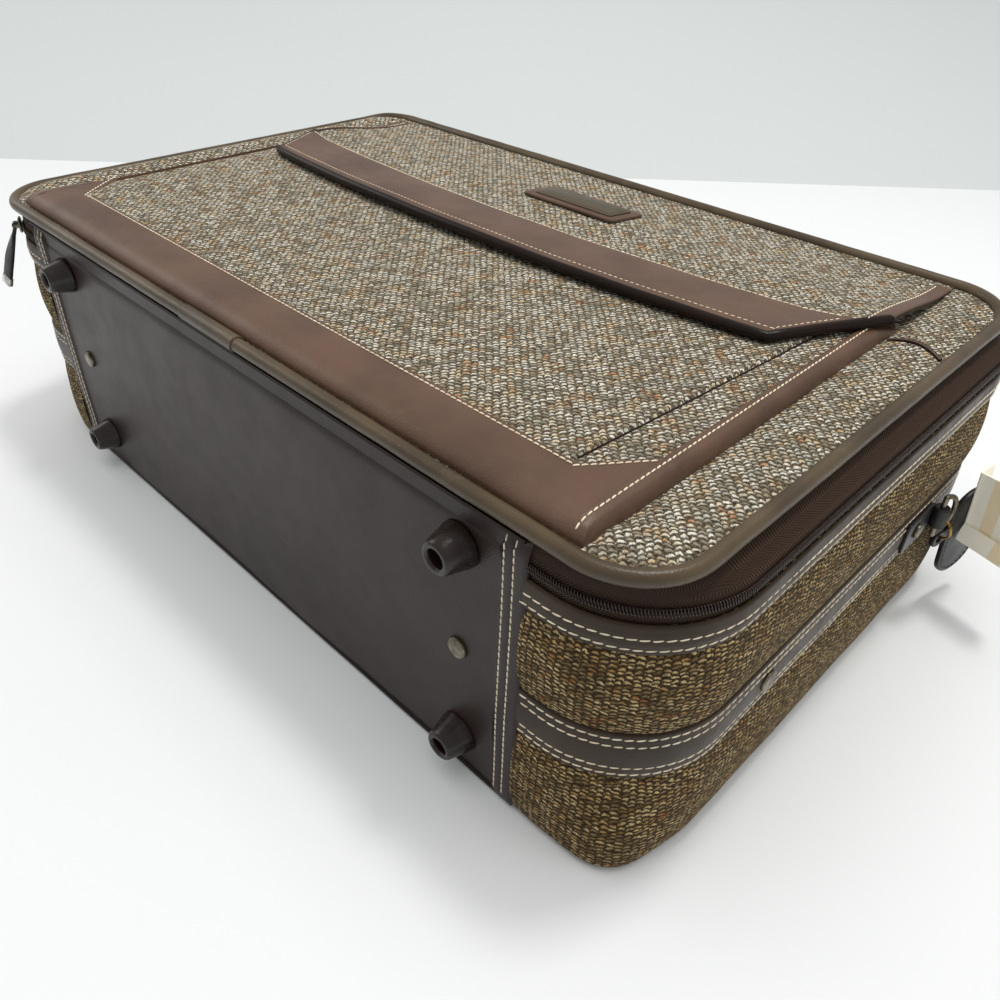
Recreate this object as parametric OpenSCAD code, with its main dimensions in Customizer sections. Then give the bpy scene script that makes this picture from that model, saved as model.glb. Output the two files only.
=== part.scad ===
// Soft-sided tweed suitcase with leather trim, lying on its back.
// X runs across the width, -Y is the side with the feet, +Y the side with the handle, Z is up.
// The origin is the centre of the back's outer face.

/* [Case] */
// Outside width of the case, side wall to side wall
case_w = 562; // [500:1:620]
// Outside height of the case, foot side to handle side
case_h = 348; // [310:1:390]
// Height of the tweed wall's rim above the floor
rim_z = 146; // [125:1:180]
// Plan radius of the case's corners
case_r = 54; // [48:1:62]
// Thickness of the padded tweed wall, the bottom panel and the back
wall_t = 3; // [2:0.5:4]
// Radius of the edge between the walls and the back
back_edge_r = 5; // [4.5:0.5:12]
// Length of tweed between a lower corner's arc and the bottom panel's seam
seam_tail = 11; // [4:1:20]
// Thickness of the board behind the bottom panel
bottom_board_t = 4; // [2:0.5:6]
// Distance from the seams to the ends of the bottom board
bottom_board_inset = 8; // [4:1:20]
// Thickness of the board on the back
back_board_t = 3; // [2:0.5:5]
// Thickness of the lining cloth
lining_t = 0.8; // [0.6:0.1:1.5]
// Width of the steel hoop in the rim
hoop_w = 14; // [8:1:20]
// Thickness of the steel hoop
hoop_t = 1.5; // [1:0.1:2.5]
// Distance from the rim down to the hoop
hoop_drop = 6; // [3:1:12]

/* [Leather on the case] */
// Thickness of the leather trim
leather_t = 1.2; // [0.8:0.1:1.8]
// Width of the binding under the zip
binding_w = 15; // [10:1:22]
// Height by which the binding stands above the rim
binding_rise = 1; // [0:0.5:2]
// Width of the band round the sides
band_w = 28; // [20:1:34]
// Height of the band's centre line above the floor
band_z = 72; // [60:1:85]
// Diameter of the round rivets
rivet_d = 11; // [8:0.5:14]
// Height of a rivet's domed head
rivet_h = 2; // [1:0.25:3]
// Distance from the lower corner's arc to the rivet on each side band
side_rivet_y = 37; // [20:1:60]

/* [Feet] */
// Diameter of a foot where it meets the bottom panel
foot_base_d = 22; // [16:0.5:26]
// Diameter of a foot's outer end
foot_end_d = 15; // [12:0.5:18]
// Height of a foot
foot_h = 14; // [10:0.5:20]
// Diameter of the screw recess in a foot
foot_hole_d = 8.6; // [6:0.2:10]
// Depth of the screw recess
foot_hole_depth = 9; // [5:0.5:9.5]
// Distance from the seams to the feet
foot_seam_gap = 36; // [20:1:60]
// Height of the lower feet above the floor
foot_low_z = 23; // [20:1:40]
// Distance from the bottom panel's upper edge down to the upper feet
foot_high_drop = 16.5; // [14:0.5:30]
// Diameter of the screw shank
screw_d = 4; // [3:0.5:5]
// Diameter of the screw head
screw_head_d = 7.6; // [5.4:0.2:9]
// Height of the screw head
screw_head_h = 2.5; // [1.5:0.25:4]

/* [Zip] */
// Height from the wall's rim to the middle of the zip
zip_rise = 7; // [5:0.5:10]
// Height of one half of the chain
chain_h = 2.4; // [1.8:0.1:3]
// Thickness of the chain
chain_t = 2.4; // [1.8:0.1:3]
// Distance from one tooth of the chain to the next
tooth_pitch = 4; // [3:0.25:6]
// Length of a tooth along the chain
tooth_l = 2.2; // [1.4:0.1:2.6]
// Distance by which a tooth stands out from the cord that carries it
tooth_proud = 0.7; // [0.4:0.1:1]
// Gap between the two halves of the chain
chain_gap = 1.6; // [1.5:0.1:2]
// Thickness of the zip tape
tape_t = 1; // [0.8:0.1:1.4]
// Distance from the wall's outer face in to the tape's outer face
tape_inset = 1; // [0.5:0.1:1.4]
// Height of the upright strip that carries the upper chain half
tape_foot_h = 2.8; // [2.6:0.1:4]
// Length of the stop at each end of the chain
stop_l = 4; // [2:0.5:6]

/* [Sliders] */
// Length of a slider along the chain
slider_l = 11; // [8:0.5:14]
// Height of a slider's outer plate
slider_h = 9; // [7:0.5:12]
// Corner radius of a slider's outer plate
slider_r = 2.5; // [1:0.25:3]
// Length of the web between a slider's plates
slider_web_l = 4; // [2:0.5:6]
// Thickness of a slider's plates
slider_t = 1.4; // [1:0.1:2]
// Thickness of the web between the slider's plates
slider_web_t = 0.9; // [0.6:0.1:0.9]
// Diameter of the bar that the pull hangs on
pull_bar_d = 1.8; // [1.4:0.1:2.4]
// Gap between the slider's plate and the pull's bar
pull_bar_gap = 1.6; // [1.5:0.1:2.4]
// Thickness of the legs that carry the pull's bar
pull_leg_t = 1.6; // [1:0.1:2]
// Width of a pull's eye
pull_eye_w = 5; // [3:0.5:6]
// Wall of a pull's eye
pull_eye_t = 0.9; // [0.7:0.1:1]
// Length of a pull's narrow neck
pull_neck = 7; // [5:0.5:10]
// Length of a pull from its bar to its tip
pull_l = 43; // [30:1:60]
// Width of a pull
pull_w = 10; // [7:0.5:14]
// Thickness of a pull
pull_t = 2.4; // [1.8:0.1:3]
// Length of the metal tip
pull_tip_l = 6; // [4:0.5:10]
// Angle that a pull leans out from the wall at rest, in degrees
pull_lean = 20; // [0:1:30]
// Place of the front slider on the lower left corner, in degrees from the left side
front_slider_a = 64; // [42:1:70]
// Distance of the rear slider from the lower left corner's arc
rear_slider_y = 14; // [10:1:40]

/* [Lid] */
// Distance from the case's side face in to the lid's piping
lid_side_inset = 11; // [8:1:14]
// Distance from the case's handle side in to the lid's piping
lid_top_inset = 12; // [8:1:14]
// Distance from the case's foot side in to the lid's piping
lid_hinge_inset = 1; // [0.5:0.5:2]
// Plan radius of the piping's corners
lid_r = 34; // [28:1:40]
// Height from the middle of the zip to the middle of the piping
lid_drop = 16; // [13:1:20]
// Diameter of the piping
pipe_d = 8; // [6:0.5:9]
// Width of the piping's sewn edge
flange_w = 7; // [5:0.5:10]
// Thickness of the piping's sewn edge
flange_t = 1.5; // [1:0.1:2]
// Thickness of the lid's tweed panel
lid_panel_t = 2; // [1.5:0.1:2.4]
// Thickness of the lid's board
lid_board_t = 1; // [0.8:0.1:1.2]
// Height of the flat part of the leather fold under the piping
fold_h = 6; // [4:0.5:8]

/* [Pocket] */
// Distance from the side piping in to the pocket's sides
pocket_margin = 34; // [28:1:50]
// Distance from the hinge piping to the pocket's lower edge
pocket_foot_gap = 4.5; // [4.4:0.1:8]
// Height of the pocket from its lower edge to its mouth
pocket_h = 226; // [205:1:240]
// Clear depth of the pocket
pocket_depth = 4.8; // [4.4:0.1:8]
// Thickness of the pocket's gusset walls
gusset_t = 3; // [2:0.5:5]
// Thickness of the pocket's tweed panel
pocket_panel_t = 2; // [1.5:0.1:3]
// Width of the leather strips at the sides
strip_w = 14; // [10:1:20]
// Width of the leather band along the foot side
foot_band_w = 31.5; // [20:0.5:45]
// Width of the cut corners of the pocket's tweed
pocket_cut_x = 20; // [10:1:30]
// Height of the cut corners of the pocket's tweed
pocket_cut_y = 28; // [10:1:40]

/* [Flap] */
// Distance from the handle-side piping to the flap's fold
flap_fold_gap = 8; // [7:0.5:14]
// Length of the flap from its fold to its free edge
flap_l = 150; // [130:1:170]
// Thickness of the flap's tweed
flap_t = 1.5; // [1:0.1:2.5]
// Gap between the flap and the pocket's trim
flap_gap = 0.8; // [0.5:0.1:2]
// Width of the flap's leather band
flap_band_w = 45; // [30:1:55]
// Thickness of the flap's leather band
flap_band_t = 1.5; // [1:0.1:2.5]
// Width of the flap's cut corners
flap_cut_x = 33; // [20:1:45]
// Height of the flap's cut corners
flap_cut_y = 66; // [50:1:80]
// Bow of the flap's free edge in its middle
flap_bow = 14; // [4:1:24]
// Distance from the fold to the ends of the flap's leather strips
strip_fold_gap = 4; // [3:0.5:10]
// Distance from the fold to the nameplate's centre
nameplate_y = 60; // [40:1:70]
// Distance of the nameplate's centre to the right of the flap's middle
nameplate_x = 10; // [-30:1:30]
// Width of the nameplate's backing
backing_w = 76; // [60:1:100]
// Height of the nameplate's backing
backing_h = 35; // [28:1:40]
// Thickness of the nameplate's backing
backing_t = 1.6; // [1:0.1:3]
// Corner radius of the nameplate's backing
backing_r = 4; // [1:0.5:8]
// Corner radius of the metal nameplate
plate_r = 2; // [0.5:0.5:5]
// Width of the metal nameplate
plate_w = 64; // [50:1:70]
// Height of the metal nameplate
plate_h = 23; // [16:1:26]
// Thickness of the metal nameplate
plate_t = 0.8; // [0.5:0.1:1.5]

/* [Handle] */
// Distance between the handle's two pins
handle_span = 150; // [120:1:200]
// Distance from the pins to the middle of the grip
handle_drop = 40; // [34:1:46]
// Diameter of the grip at its middle
grip_d = 20; // [16:0.5:22]
// Diameter of the grip at its ends
grip_end_d = 16; // [13:0.5:18]
// Length of the grip
grip_l = 100; // [80:1:110]
// Diameter of a handle pin
handle_pin_d = 5; // [4:0.5:6]
// Distance from the wall to the handle's pins
handle_pin_out = 14; // [13:0.5:18]
// Width of a bracket's base plate
bracket_w = 34; // [26:1:40]
// Height of a bracket's base plate
bracket_h = 22; // [18:1:24]
// Thickness of a bracket's base plate
bracket_t = 2; // [1.5:0.25:3]
// Thickness of a bracket's ears
ear_t = 2.5; // [2:0.25:4]
// Gap between a bracket's ears
ear_gap = 13.5; // [11:0.5:16]
// Outside diameter of a bracket's ears
ear_d = 11; // [9:0.5:13]
// Corner radius of a bracket's base plate
bracket_r = 3; // [1:0.5:6]
// Height of a pin's head
pin_head_h = 1.5; // [1:0.25:3]
// Amount by which a pin's head is wider than the pin
pin_head_rim = 2; // [1:0.25:4]
// Outside diameter of the handle's eyes
handle_eye_d = 10; // [8:0.5:12]
// Width of the handle's steel core
core_w = 9; // [7:0.5:10]
// Thickness of the handle's steel core
core_t = 4; // [3:0.25:5]
// Plan radius of the core's bends
core_bend_r = 16; // [13:1:20]

/* [Ring and tag] */
// Distance of the ring's bar from the upper right corner's arc
ring_y = 27; // [22:1:60]
// Diameter of the D-ring's wire
ring_wire_d = 3; // [2:0.25:4]
// Radius of the D-ring's bow
ring_r = 13; // [11:0.5:15]
// Distance from the wall to the ring's bar
ring_out = 7; // [6.8:0.1:7.4]
// Turn of the stored ring away from the wall, in degrees
ring_turn = 14; // [12:1:60]
// Length of the leather tab that holds the ring
ring_tab_l = 32; // [24:1:44]
// Width of the ring tab
ring_tab_w = 20; // [16:1:24]
// Diameter of the ring tab's rivet
tab_rivet_d = 9; // [6:0.5:12]
// Distance from the ring's bar to the tab's rivet
tab_rivet_y = 22; // [16:1:28]
// Thickness of the ring tab
ring_tab_t = 2.2; // [1.6:0.1:3]
// Outside diameter of the tab's loop
ring_loop_d = 9; // [8.6:0.2:10]
// Width of the tab's loop
ring_loop_w = 13; // [9:1:16]
// Radius of the split ring that carries the tag
split_r = 6; // [5.8:0.1:6.6]
// Diameter of the split ring's wire
split_wire_d = 1.6; // [1.2:0.1:2]
// Length of the luggage tag
tag_l = 64; // [44:1:66]
// Width of the luggage tag
tag_w = 32; // [24:1:40]
// Thickness of the luggage tag
tag_t = 3; // [2:0.25:4]
// Height of the tag's upper end above its eyelet
tag_rise = 24; // [12:1:26]
// Distance from the eyelet to the tag's near side
tag_gap = 7; // [6.8:0.2:12]
// Diameter of the tag's eyelet
eyelet_d = 5; // [4.6:0.2:7]
// Width of the ear round the eyelet
ear_w = 11; // [9:0.5:12]
// Length of the card
card_l = 48; // [30:1:56]
// Height of the card's upper end above the eyelet
card_rise = 40; // [30:1:42]
// Distance from the tag's near side to the card's crease
card_gap = 9; // [4:1:12]
// Width of the card's leaf that lies on the tag
card_leaf_w = 12; // [10:1:16]
// Width of the card's leaf that stands out from the tag
card_w = 36; // [20:1:40]
// Bend of the card between its two leaves, in degrees away from flat
card_bend = 95; // [70:5:100]
// Thickness of the card
card_t = 0.8; // [0.5:0.1:1.2]

/* [Clearances] */
// Gap between pieces that move past each other
run_gap = 0.4; // [0.3:0.05:0.6]
// Gap round a pin in its eye
pin_gap = 0.15; // [0.1:0.05:0.3]
// Gap round a screw in its hole
screw_gap = 0.2; // [0.1:0.05:0.4]
// Gap between sewn pieces that lie side by side
seat_gap = 0.2; // [0.1:0.05:0.3]

/* [Hidden] */
$fn = 64;

TWEED = [0.50, 0.46, 0.38];
LEATHER = [0.30, 0.20, 0.17];
DARK_LEATHER = [0.22, 0.16, 0.15];
PIPING = [0.33, 0.27, 0.20];
TAPE = [0.24, 0.16, 0.13];
BLACK = [0.10, 0.09, 0.09];
NICKEL = [0.62, 0.60, 0.56];
BRASS = [0.70, 0.55, 0.28];
BOARD = [0.55, 0.45, 0.32];
LINING = [0.60, 0.50, 0.38];
CREAM = [0.90, 0.86, 0.74];

// Outlines as [half width, lower y, upper y, corner radius]
case_line = [case_w / 2, -case_h / 2, case_h / 2, case_r];
lid_line = [case_w / 2 - lid_side_inset, -case_h / 2 + lid_hinge_inset, case_h / 2 - lid_top_inset, lid_r];
corner_x = case_w / 2 - case_r;
corner_y = case_h / 2 - case_r;
seam_x = corner_x - seam_tail;

// Heights through the zip, the lid, the pocket and the flap
zip_z = rim_z + zip_rise;
pipe_z = zip_z + lid_drop;
lid_top = pipe_z;
flange_top = lid_top - lid_panel_t - lid_board_t;
flange_z = flange_top - flange_t;
flange_root = pipe_d / 4;
fold_r = pipe_d / 2 + run_gap;
panel_top = pipe_z - fold_r - leather_t - fold_h;
pocket_z = lid_top + pocket_depth;
trim_z = pocket_z + pocket_panel_t;
flap_z = trim_z + leather_t + flap_gap;
flap_top = flap_z + flap_t;

// Places on the lid and on the case
pocket_hw = lid_line[0] - pocket_margin;
pocket_y = lid_line[1] + pocket_foot_gap;
mouth_y = pocket_y + pocket_h;
fold_y = lid_line[2] - flap_fold_gap;
flap_y = fold_y - flap_l;
flap_end_x = pocket_hw - flap_cut_x;
bow_r = (flap_end_x * flap_end_x + flap_bow * flap_bow) / (2 * flap_bow);
bow_sides = 2880;
foot_x = seam_x - foot_seam_gap;
foot_high_z = panel_top - foot_high_drop;
lining_in = wall_t + bottom_board_t + seat_gap;
chain_out = chain_t - tape_inset;
slider_out = chain_out + run_gap + slider_t;
pull_out = slider_out + pull_bar_d / 2 + pull_bar_gap;
slider_in = tape_inset + tape_t + 2 * run_gap;
handle_y = case_h / 2 + handle_pin_out;
ring_bar = [case_w / 2 + ring_out, corner_y - ring_y, band_z];
// The split ring hangs on the lower part of the D-ring's bow, at hook_a below the bow's outer end
hook_a = 50;
hook_reach = ring_r * cos(hook_a);
hook_z = -ring_r * sin(hook_a);
split_drop = split_r - (split_wire_d / 2 + run_gap) - ring_wire_d / 2 / sin(hook_a)
    - split_wire_d / 2 / tan(hook_a);
eyelet_z = -split_drop - split_r - eyelet_d / 2 + split_wire_d / 2 + run_gap;

// Shared shapes

// Flat outline with round corners, grown by d
module round_plan(o, d = 0) {
    hw = o[0] + d;
    lo = o[1] - d;
    hi = o[2] + d;
    r = o[3] + d;
    translate([-hw, lo + r]) square([2 * hw, hi - lo - 2 * r]);
    translate([-hw + r, lo]) square([2 * (hw - r), hi - lo]);
    for (x = [-hw + r, hw - r], y = [lo + r, hi - r]) translate([x, y]) circle(r);
}

// Rectangle with round corners, centred
module round_rect(w, h, r) {
    square([w - 2 * r, h], center = true);
    square([w, h - 2 * r], center = true);
    for (x = [-1, 1], y = [-1, 1]) translate([x * (w / 2 - r), y * (h / 2 - r)]) circle(r);
}

// The four corners of an outline, swept with a profile of distance outside the outline and height
module sweep_corners(o) {
    x = o[0] - o[3];
    for (c = [[x, o[2] - o[3], 0], [-x, o[2] - o[3], 90], [-x, o[1] + o[3], 180], [x, o[1] + o[3], 270]])
        translate([c[0], c[1], 0]) rotate([0, 0, c[2]])
            rotate_extrude(angle = 90) translate([o[3], 0]) children();
}

// The left and right sides of an outline, swept with the same kind of profile
module sweep_sides(o) {
    for (side = [0, 1]) mirror([side, 0, 0])
        translate([o[0], o[2] - o[3], 0]) rotate([90, 0, 0])
            linear_extrude(o[2] - o[1] - 2 * o[3]) children();
}

// One stretch along X at the upper side of an outline
module sweep_top(o, x0, x1) {
    translate([x0, o[2], 0]) rotate([90, 0, 90]) linear_extrude(x1 - x0) children();
}

// One stretch along X at the lower side of an outline
module sweep_foot(o, x0, x1) {
    mirror([0, 1, 0]) translate([x0, -o[1], 0]) rotate([90, 0, 90]) linear_extrude(x1 - x0) children();
}

// Left, upper and right walls, with both lower corners as far as the seams
module sweep_walls(o) {
    x = o[0] - o[3];
    sweep_corners(o) children();
    sweep_sides(o) children();
    sweep_top(o, -x, x) children();
    sweep_foot(o, -x, -seam_x) children();
    sweep_foot(o, seam_x, x) children();
}

// The whole outline
module sweep_loop(o) {
    x = o[0] - o[3];
    sweep_corners(o) children();
    sweep_sides(o) children();
    sweep_top(o, -x, x) children();
    sweep_foot(o, -x, x) children();
}

// Rectangle of a profile, from its inner to its outer edge and from its lower to its upper one
module profile_box(d0, d1, z0, z1) {
    translate([d0, z0]) square([d1 - d0, z1 - z0]);
}

// Wall profile with the round edge down to the back
module wall_profile(top) {
    profile_box(-wall_t, 0, back_edge_r, top);
    intersection() {
        translate([-back_edge_r, back_edge_r]) difference() {
            circle(back_edge_r);
            circle(back_edge_r - wall_t);
        }
        translate([-back_edge_r, 0]) square(back_edge_r);
    }
}

// Low dome, flat side down
module dome(d, h) {
    r = (d * d / 4 + h * h) / (2 * h);
    rotate_extrude() intersection() {
        translate([0, h - r]) circle(r);
        square([d / 2, h]);
    }
}

// Points along the walls of an outline grown by d, from the left seam round to the right one
arc_steps = 10;
function arc_points(cx, cy, r, a0) =
    [for (i = [0 : arc_steps]) let (a = a0 - 90 * i / arc_steps) [cx + r * cos(a), cy + r * sin(a)]];
function wall_points(o, d) = let (x = o[0] - o[3], r = o[3] + d) concat(
    [[-seam_x - run_gap, o[1] - d]],
    arc_points(-x, o[1] + o[3], r, 270),
    arc_points(-x, o[2] - o[3], r, 180),
    arc_points(x, o[2] - o[3], r, 90),
    arc_points(x, o[1] + o[3], r, 0),
    [[seam_x + run_gap, o[1] - d]]);

// Strip along the walls through a ring of edges, each with its outline, growth and height
module wall_strip(edges) {
    m = len(edges);
    runs = [for (e = edges) wall_points(e[0], e[1])];
    n = len(runs[0]);
    points = [for (i = [0 : n - 1], j = [0 : m - 1]) [runs[j][i][0], runs[j][i][1], edges[j][2]]];
    sides = [for (i = [0 : n - 2], j = [0 : m - 1]) let (k = (j + 1) % m, a = i * m, b = a + m)
        each [[a + j, b + j, b + k], [a + j, b + k, a + k]]];
    first = [for (j = [0 : m - 1]) j];
    last = [for (j = [m - 1 : -1 : 0]) (n - 1) * m + j];
    polyhedron(points, concat([first], sides, [last]));
}

// Puts a piece at every tooth's place along the zip, with its +X out of the wall and its Y along the zip
module along_zip() {
    n_side = floor(2 * corner_y / tooth_pitch);
    n_top = floor(2 * corner_x / tooth_pitch);
    n_arc = floor(case_r * PI / 2 / tooth_pitch);
    n_tail = floor(seam_tail / tooth_pitch);
    for (side = [0, 1]) mirror([side, 0, 0]) {
        for (i = [0 : n_side - 1])
            translate([case_w / 2, corner_y * ((2 * i + 1) / n_side - 1), 0]) children();
        for (i = [0 : n_arc - 1], top = [0, 1])
            translate([corner_x, corner_y * (2 * top - 1), 0])
                rotate([0, 0, 90 * ((i + 0.5) / n_arc - 1 + top)]) translate([case_r, 0, 0]) children();
        for (i = [1 : 1 : n_tail])
            translate([corner_x - (i - 0.5) * tooth_pitch, -case_h / 2, 0]) rotate([0, 0, -90]) children();
    }
    for (i = [0 : n_top - 1])
        translate([corner_x * ((2 * i + 1) / n_top - 1), case_h / 2, 0]) rotate([0, 0, 90]) children();
}

// Teeth of one half of the zip, with their lower faces at one height
module zip_teeth(low) {
    along_zip() translate([-tape_inset, -tooth_l / 2, low]) cube([chain_t, tooth_l, chain_h]);
}

// Case

module case_wall() {
    color(TWEED) sweep_walls(case_line) wall_profile(rim_z);
}

module back_panel() {
    color(TWEED) linear_extrude(wall_t) round_plan(case_line, -back_edge_r);
}

module back_board() {
    color(BOARD) translate([0, 0, wall_t]) linear_extrude(back_board_t)
        round_plan(case_line, -back_edge_r - seat_gap);
}

// Puts a piece on the bottom panel, with its own +Z pointing out of the panel
module on_bottom(x, z) {
    translate([x, -case_h / 2, z]) rotate([90, 0, 0]) children();
}

// Screw holes through everything behind the feet
module foot_holes() {
    for (x = [-foot_x, foot_x], z = [foot_low_z, foot_high_z]) on_bottom(x, z)
        translate([0, 0, -wall_t - bottom_board_t - 1])
            cylinder(d = screw_d + 2 * screw_gap, h = wall_t + bottom_board_t + 2);
}

module bottom_panel() {
    color(DARK_LEATHER) difference() {
        sweep_foot(case_line, -seam_x, seam_x) wall_profile(panel_top);
        foot_holes();
    }
}

module bottom_board() {
    hw = seam_x - bottom_board_inset;
    low = max(back_edge_r, wall_t + back_board_t + seat_gap);
    color(BOARD) difference() {
        sweep_foot(case_line, -hw, hw)
            profile_box(-wall_t - bottom_board_t, -wall_t, low, panel_top - leather_t);
        foot_holes();
    }
}

module case_lining() {
    floor_z = wall_t + back_board_t;
    top = rim_z - lining_t;
    color(LINING) {
        difference() {
            translate([0, 0, floor_z]) linear_extrude(top - floor_z) round_plan(case_line, -lining_in);
            translate([0, 0, floor_z + lining_t]) linear_extrude(top)
                round_plan(case_line, -lining_in - lining_t);
        }
        sweep_walls(case_line) profile_box(-lining_in - lining_t, -wall_t, top - lining_t, top);
    }
}

module rim_hoop() {
    top = rim_z - hoop_drop;
    color(NICKEL) sweep_walls(case_line) profile_box(-wall_t - hoop_t, -wall_t, top - hoop_w, top);
}

module rim_binding() {
    top = rim_z + binding_rise;
    color(LEATHER) sweep_walls(case_line) profile_box(0, leather_t, top - binding_w, top);
}

module side_band() {
    color(LEATHER) sweep_walls(case_line)
        profile_box(0, leather_t, band_z - band_w / 2, band_z + band_w / 2);
}

module case_zip_tape() {
    color(TAPE) sweep_walls(case_line)
        profile_box(-tape_inset - tape_t, -tape_inset, rim_z, zip_z - chain_gap / 2);
}

module case_zip_chain() {
    top = zip_z - chain_gap / 2;
    color(BLACK) {
        sweep_walls(case_line)
            profile_box(-tape_inset, chain_out - tooth_proud, top - chain_h, top - tooth_proud);
        zip_teeth(top - chain_h);
    }
}

// Metal stops that close the lower chain half at the seams
module zip_stops() {
    top = zip_z - chain_gap / 2;
    color(NICKEL) for (side = [0, 1]) mirror([side, 0, 0])
        sweep_foot(case_line, seam_x - stop_l, seam_x)
            profile_box(0, chain_out, top - chain_h, top);
}

// Leather fold that cups the piping along the hinge side
module hinge_fold() {
    in_a = 8;
    out_a = 40;
    color(DARK_LEATHER) {
        sweep_foot(case_line, -seam_x, seam_x)
            profile_box(-lid_hinge_inset - leather_t / 2, -lid_hinge_inset + leather_t / 2,
                panel_top, pipe_z - fold_r - leather_t / 2);
        sweep_foot(case_line, -seam_x, seam_x)
            translate([-lid_hinge_inset, pipe_z]) intersection() {
                difference() {
                    circle(fold_r + leather_t);
                    circle(fold_r);
                }
                translate([-fold_r * sin(in_a), -2 * fold_r])
                    square([fold_r * (sin(in_a) + sin(out_a)), 2 * fold_r]);
            }
    }
}

module foot(x, z) {
    color(BLACK) on_bottom(x, z) difference() {
        cylinder(d1 = foot_base_d, d2 = foot_end_d, h = foot_h);
        translate([0, 0, foot_h - foot_hole_depth]) cylinder(d = foot_hole_d, h = foot_h);
        translate([0, 0, -1]) cylinder(d = screw_d + 2 * screw_gap, h = foot_h);
    }
}

module foot_upper_left() {
    foot(-foot_x, foot_high_z);
}

module foot_upper_right() {
    foot(foot_x, foot_high_z);
}

module foot_lower_left() {
    foot(-foot_x, foot_low_z);
}

module foot_lower_right() {
    foot(foot_x, foot_low_z);
}

module foot_screws() {
    shank = wall_t + bottom_board_t + foot_h - foot_hole_depth;
    color(NICKEL) for (x = [-foot_x, foot_x], z = [foot_low_z, foot_high_z]) on_bottom(x, z) {
        translate([0, 0, foot_h - foot_hole_depth]) cylinder(d = screw_head_d, h = screw_head_h);
        translate([0, 0, -wall_t - bottom_board_t]) cylinder(d = screw_d, h = shank + screw_head_h / 2);
    }
}

module bottom_rivets() {
    color(NICKEL) for (x = [-foot_x, foot_x])
        on_bottom(x, (foot_low_z + foot_high_z) / 2) dome(rivet_d, rivet_h);
}

// Puts a piece on the band of the right wall, with its own +Z pointing out of the band
module on_right_band(y) {
    translate([case_w / 2 + leather_t, y, band_z]) rotate([0, 90, 0]) children();
}

module side_rivets() {
    color(NICKEL) for (side = [0, 1]) mirror([side, 0, 0])
        on_right_band(side_rivet_y - corner_y) dome(rivet_d, rivet_h);
}

// Handle brackets

module handle_bracket(x) {
    base_y = case_h / 2 + leather_t;
    color(NICKEL) translate([x, 0, band_z]) {
        translate([0, base_y + bracket_t, 0]) rotate([90, 0, 0])
            linear_extrude(bracket_t) round_rect(bracket_w, bracket_h, bracket_r);
        for (side = [-1, 1]) translate([side * (ear_gap + ear_t) / 2 - ear_t / 2, 0, 0]) difference() {
            union() {
                translate([0, base_y + bracket_t / 2, -ear_d / 2])
                    cube([ear_t, handle_y - base_y - bracket_t / 2, ear_d]);
                translate([0, handle_y, 0]) rotate([0, 90, 0]) cylinder(d = ear_d, h = ear_t);
            }
            translate([-1, handle_y, 0]) rotate([0, 90, 0]) cylinder(d = handle_pin_d, h = ear_t + 2);
        }
    }
}

module handle_bracket_left() {
    handle_bracket(-handle_span / 2);
}

module handle_bracket_right() {
    handle_bracket(handle_span / 2);
}

module handle_pins() {
    l = ear_gap + 2 * ear_t;
    color(NICKEL) for (x = [-handle_span / 2, handle_span / 2]) translate([x, handle_y, band_z])
        rotate([0, 90, 0]) {
            cylinder(d = handle_pin_d, h = l, center = true);
            for (end = [-1, 1]) translate([0, 0, end * (l + pin_head_h) / 2])
                cylinder(d = handle_pin_d + pin_head_rim, h = pin_head_h, center = true);
        }
}

// Ring tab

module ring_tab() {
    loop_y = ring_bar[1];
    tab_y = loop_y - ring_loop_d / 2;
    color(LEATHER) difference() {
        union() {
            translate([case_w / 2 + leather_t, tab_y - ring_tab_l, band_z - ring_tab_w / 2])
                cube([ring_tab_t, ring_tab_l, ring_tab_w]);
            translate([case_w / 2 + leather_t, tab_y - 1, band_z - ring_loop_w / 2])
                cube([ring_tab_t, 1 + ring_loop_d / 2, ring_loop_w]);
            translate([ring_bar[0], loop_y, band_z])
                cylinder(d = ring_loop_d, h = ring_loop_w, center = true);
        }
        translate([ring_bar[0], loop_y, band_z])
            cylinder(d = ring_wire_d + 2 * pin_gap, h = ring_tab_w, center = true);
    }
}

module ring_tab_rivet() {
    color(NICKEL) translate([ring_tab_t, 0, 0]) on_right_band(ring_bar[1] - tab_rivet_y)
        dome(tab_rivet_d, rivet_h);
}

// Lid

module lid_panel() {
    color(TWEED) translate([0, 0, lid_top - lid_panel_t]) linear_extrude(lid_panel_t)
        round_plan(lid_line, -pipe_d / 2 - seat_gap / 2);
}

module lid_board() {
    color(BOARD) translate([0, 0, flange_top]) linear_extrude(lid_board_t)
        round_plan(lid_line, -pipe_d / 2 - seat_gap / 2);
}

module lid_lining() {
    color(LINING) translate([0, 0, flange_top - lining_t]) linear_extrude(lining_t)
        round_plan(lid_line, -flange_root - flange_w - seat_gap);
}

// Round cord in its cover, with the flat edge that is sewn under the lid's board
module lid_piping() {
    color(PIPING) sweep_loop(lid_line) {
        translate([0, pipe_z]) circle(d = pipe_d);
        profile_box(-flange_root - flange_w, -flange_root, flange_z, flange_top);
    }
}

module lid_zip_tape() {
    low = zip_z + chain_gap / 2;
    bend = low + tape_foot_h;
    outer = -tape_inset;
    inner = -tape_inset - tape_t;
    seat = -pipe_d / 2;
    color(TAPE) wall_strip([
        [case_line, outer, low], [case_line, outer, bend], [lid_line, seat, flange_z],
        [lid_line, seat - tape_t, flange_z], [case_line, inner, bend], [case_line, inner, low]
    ]);
}

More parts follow.
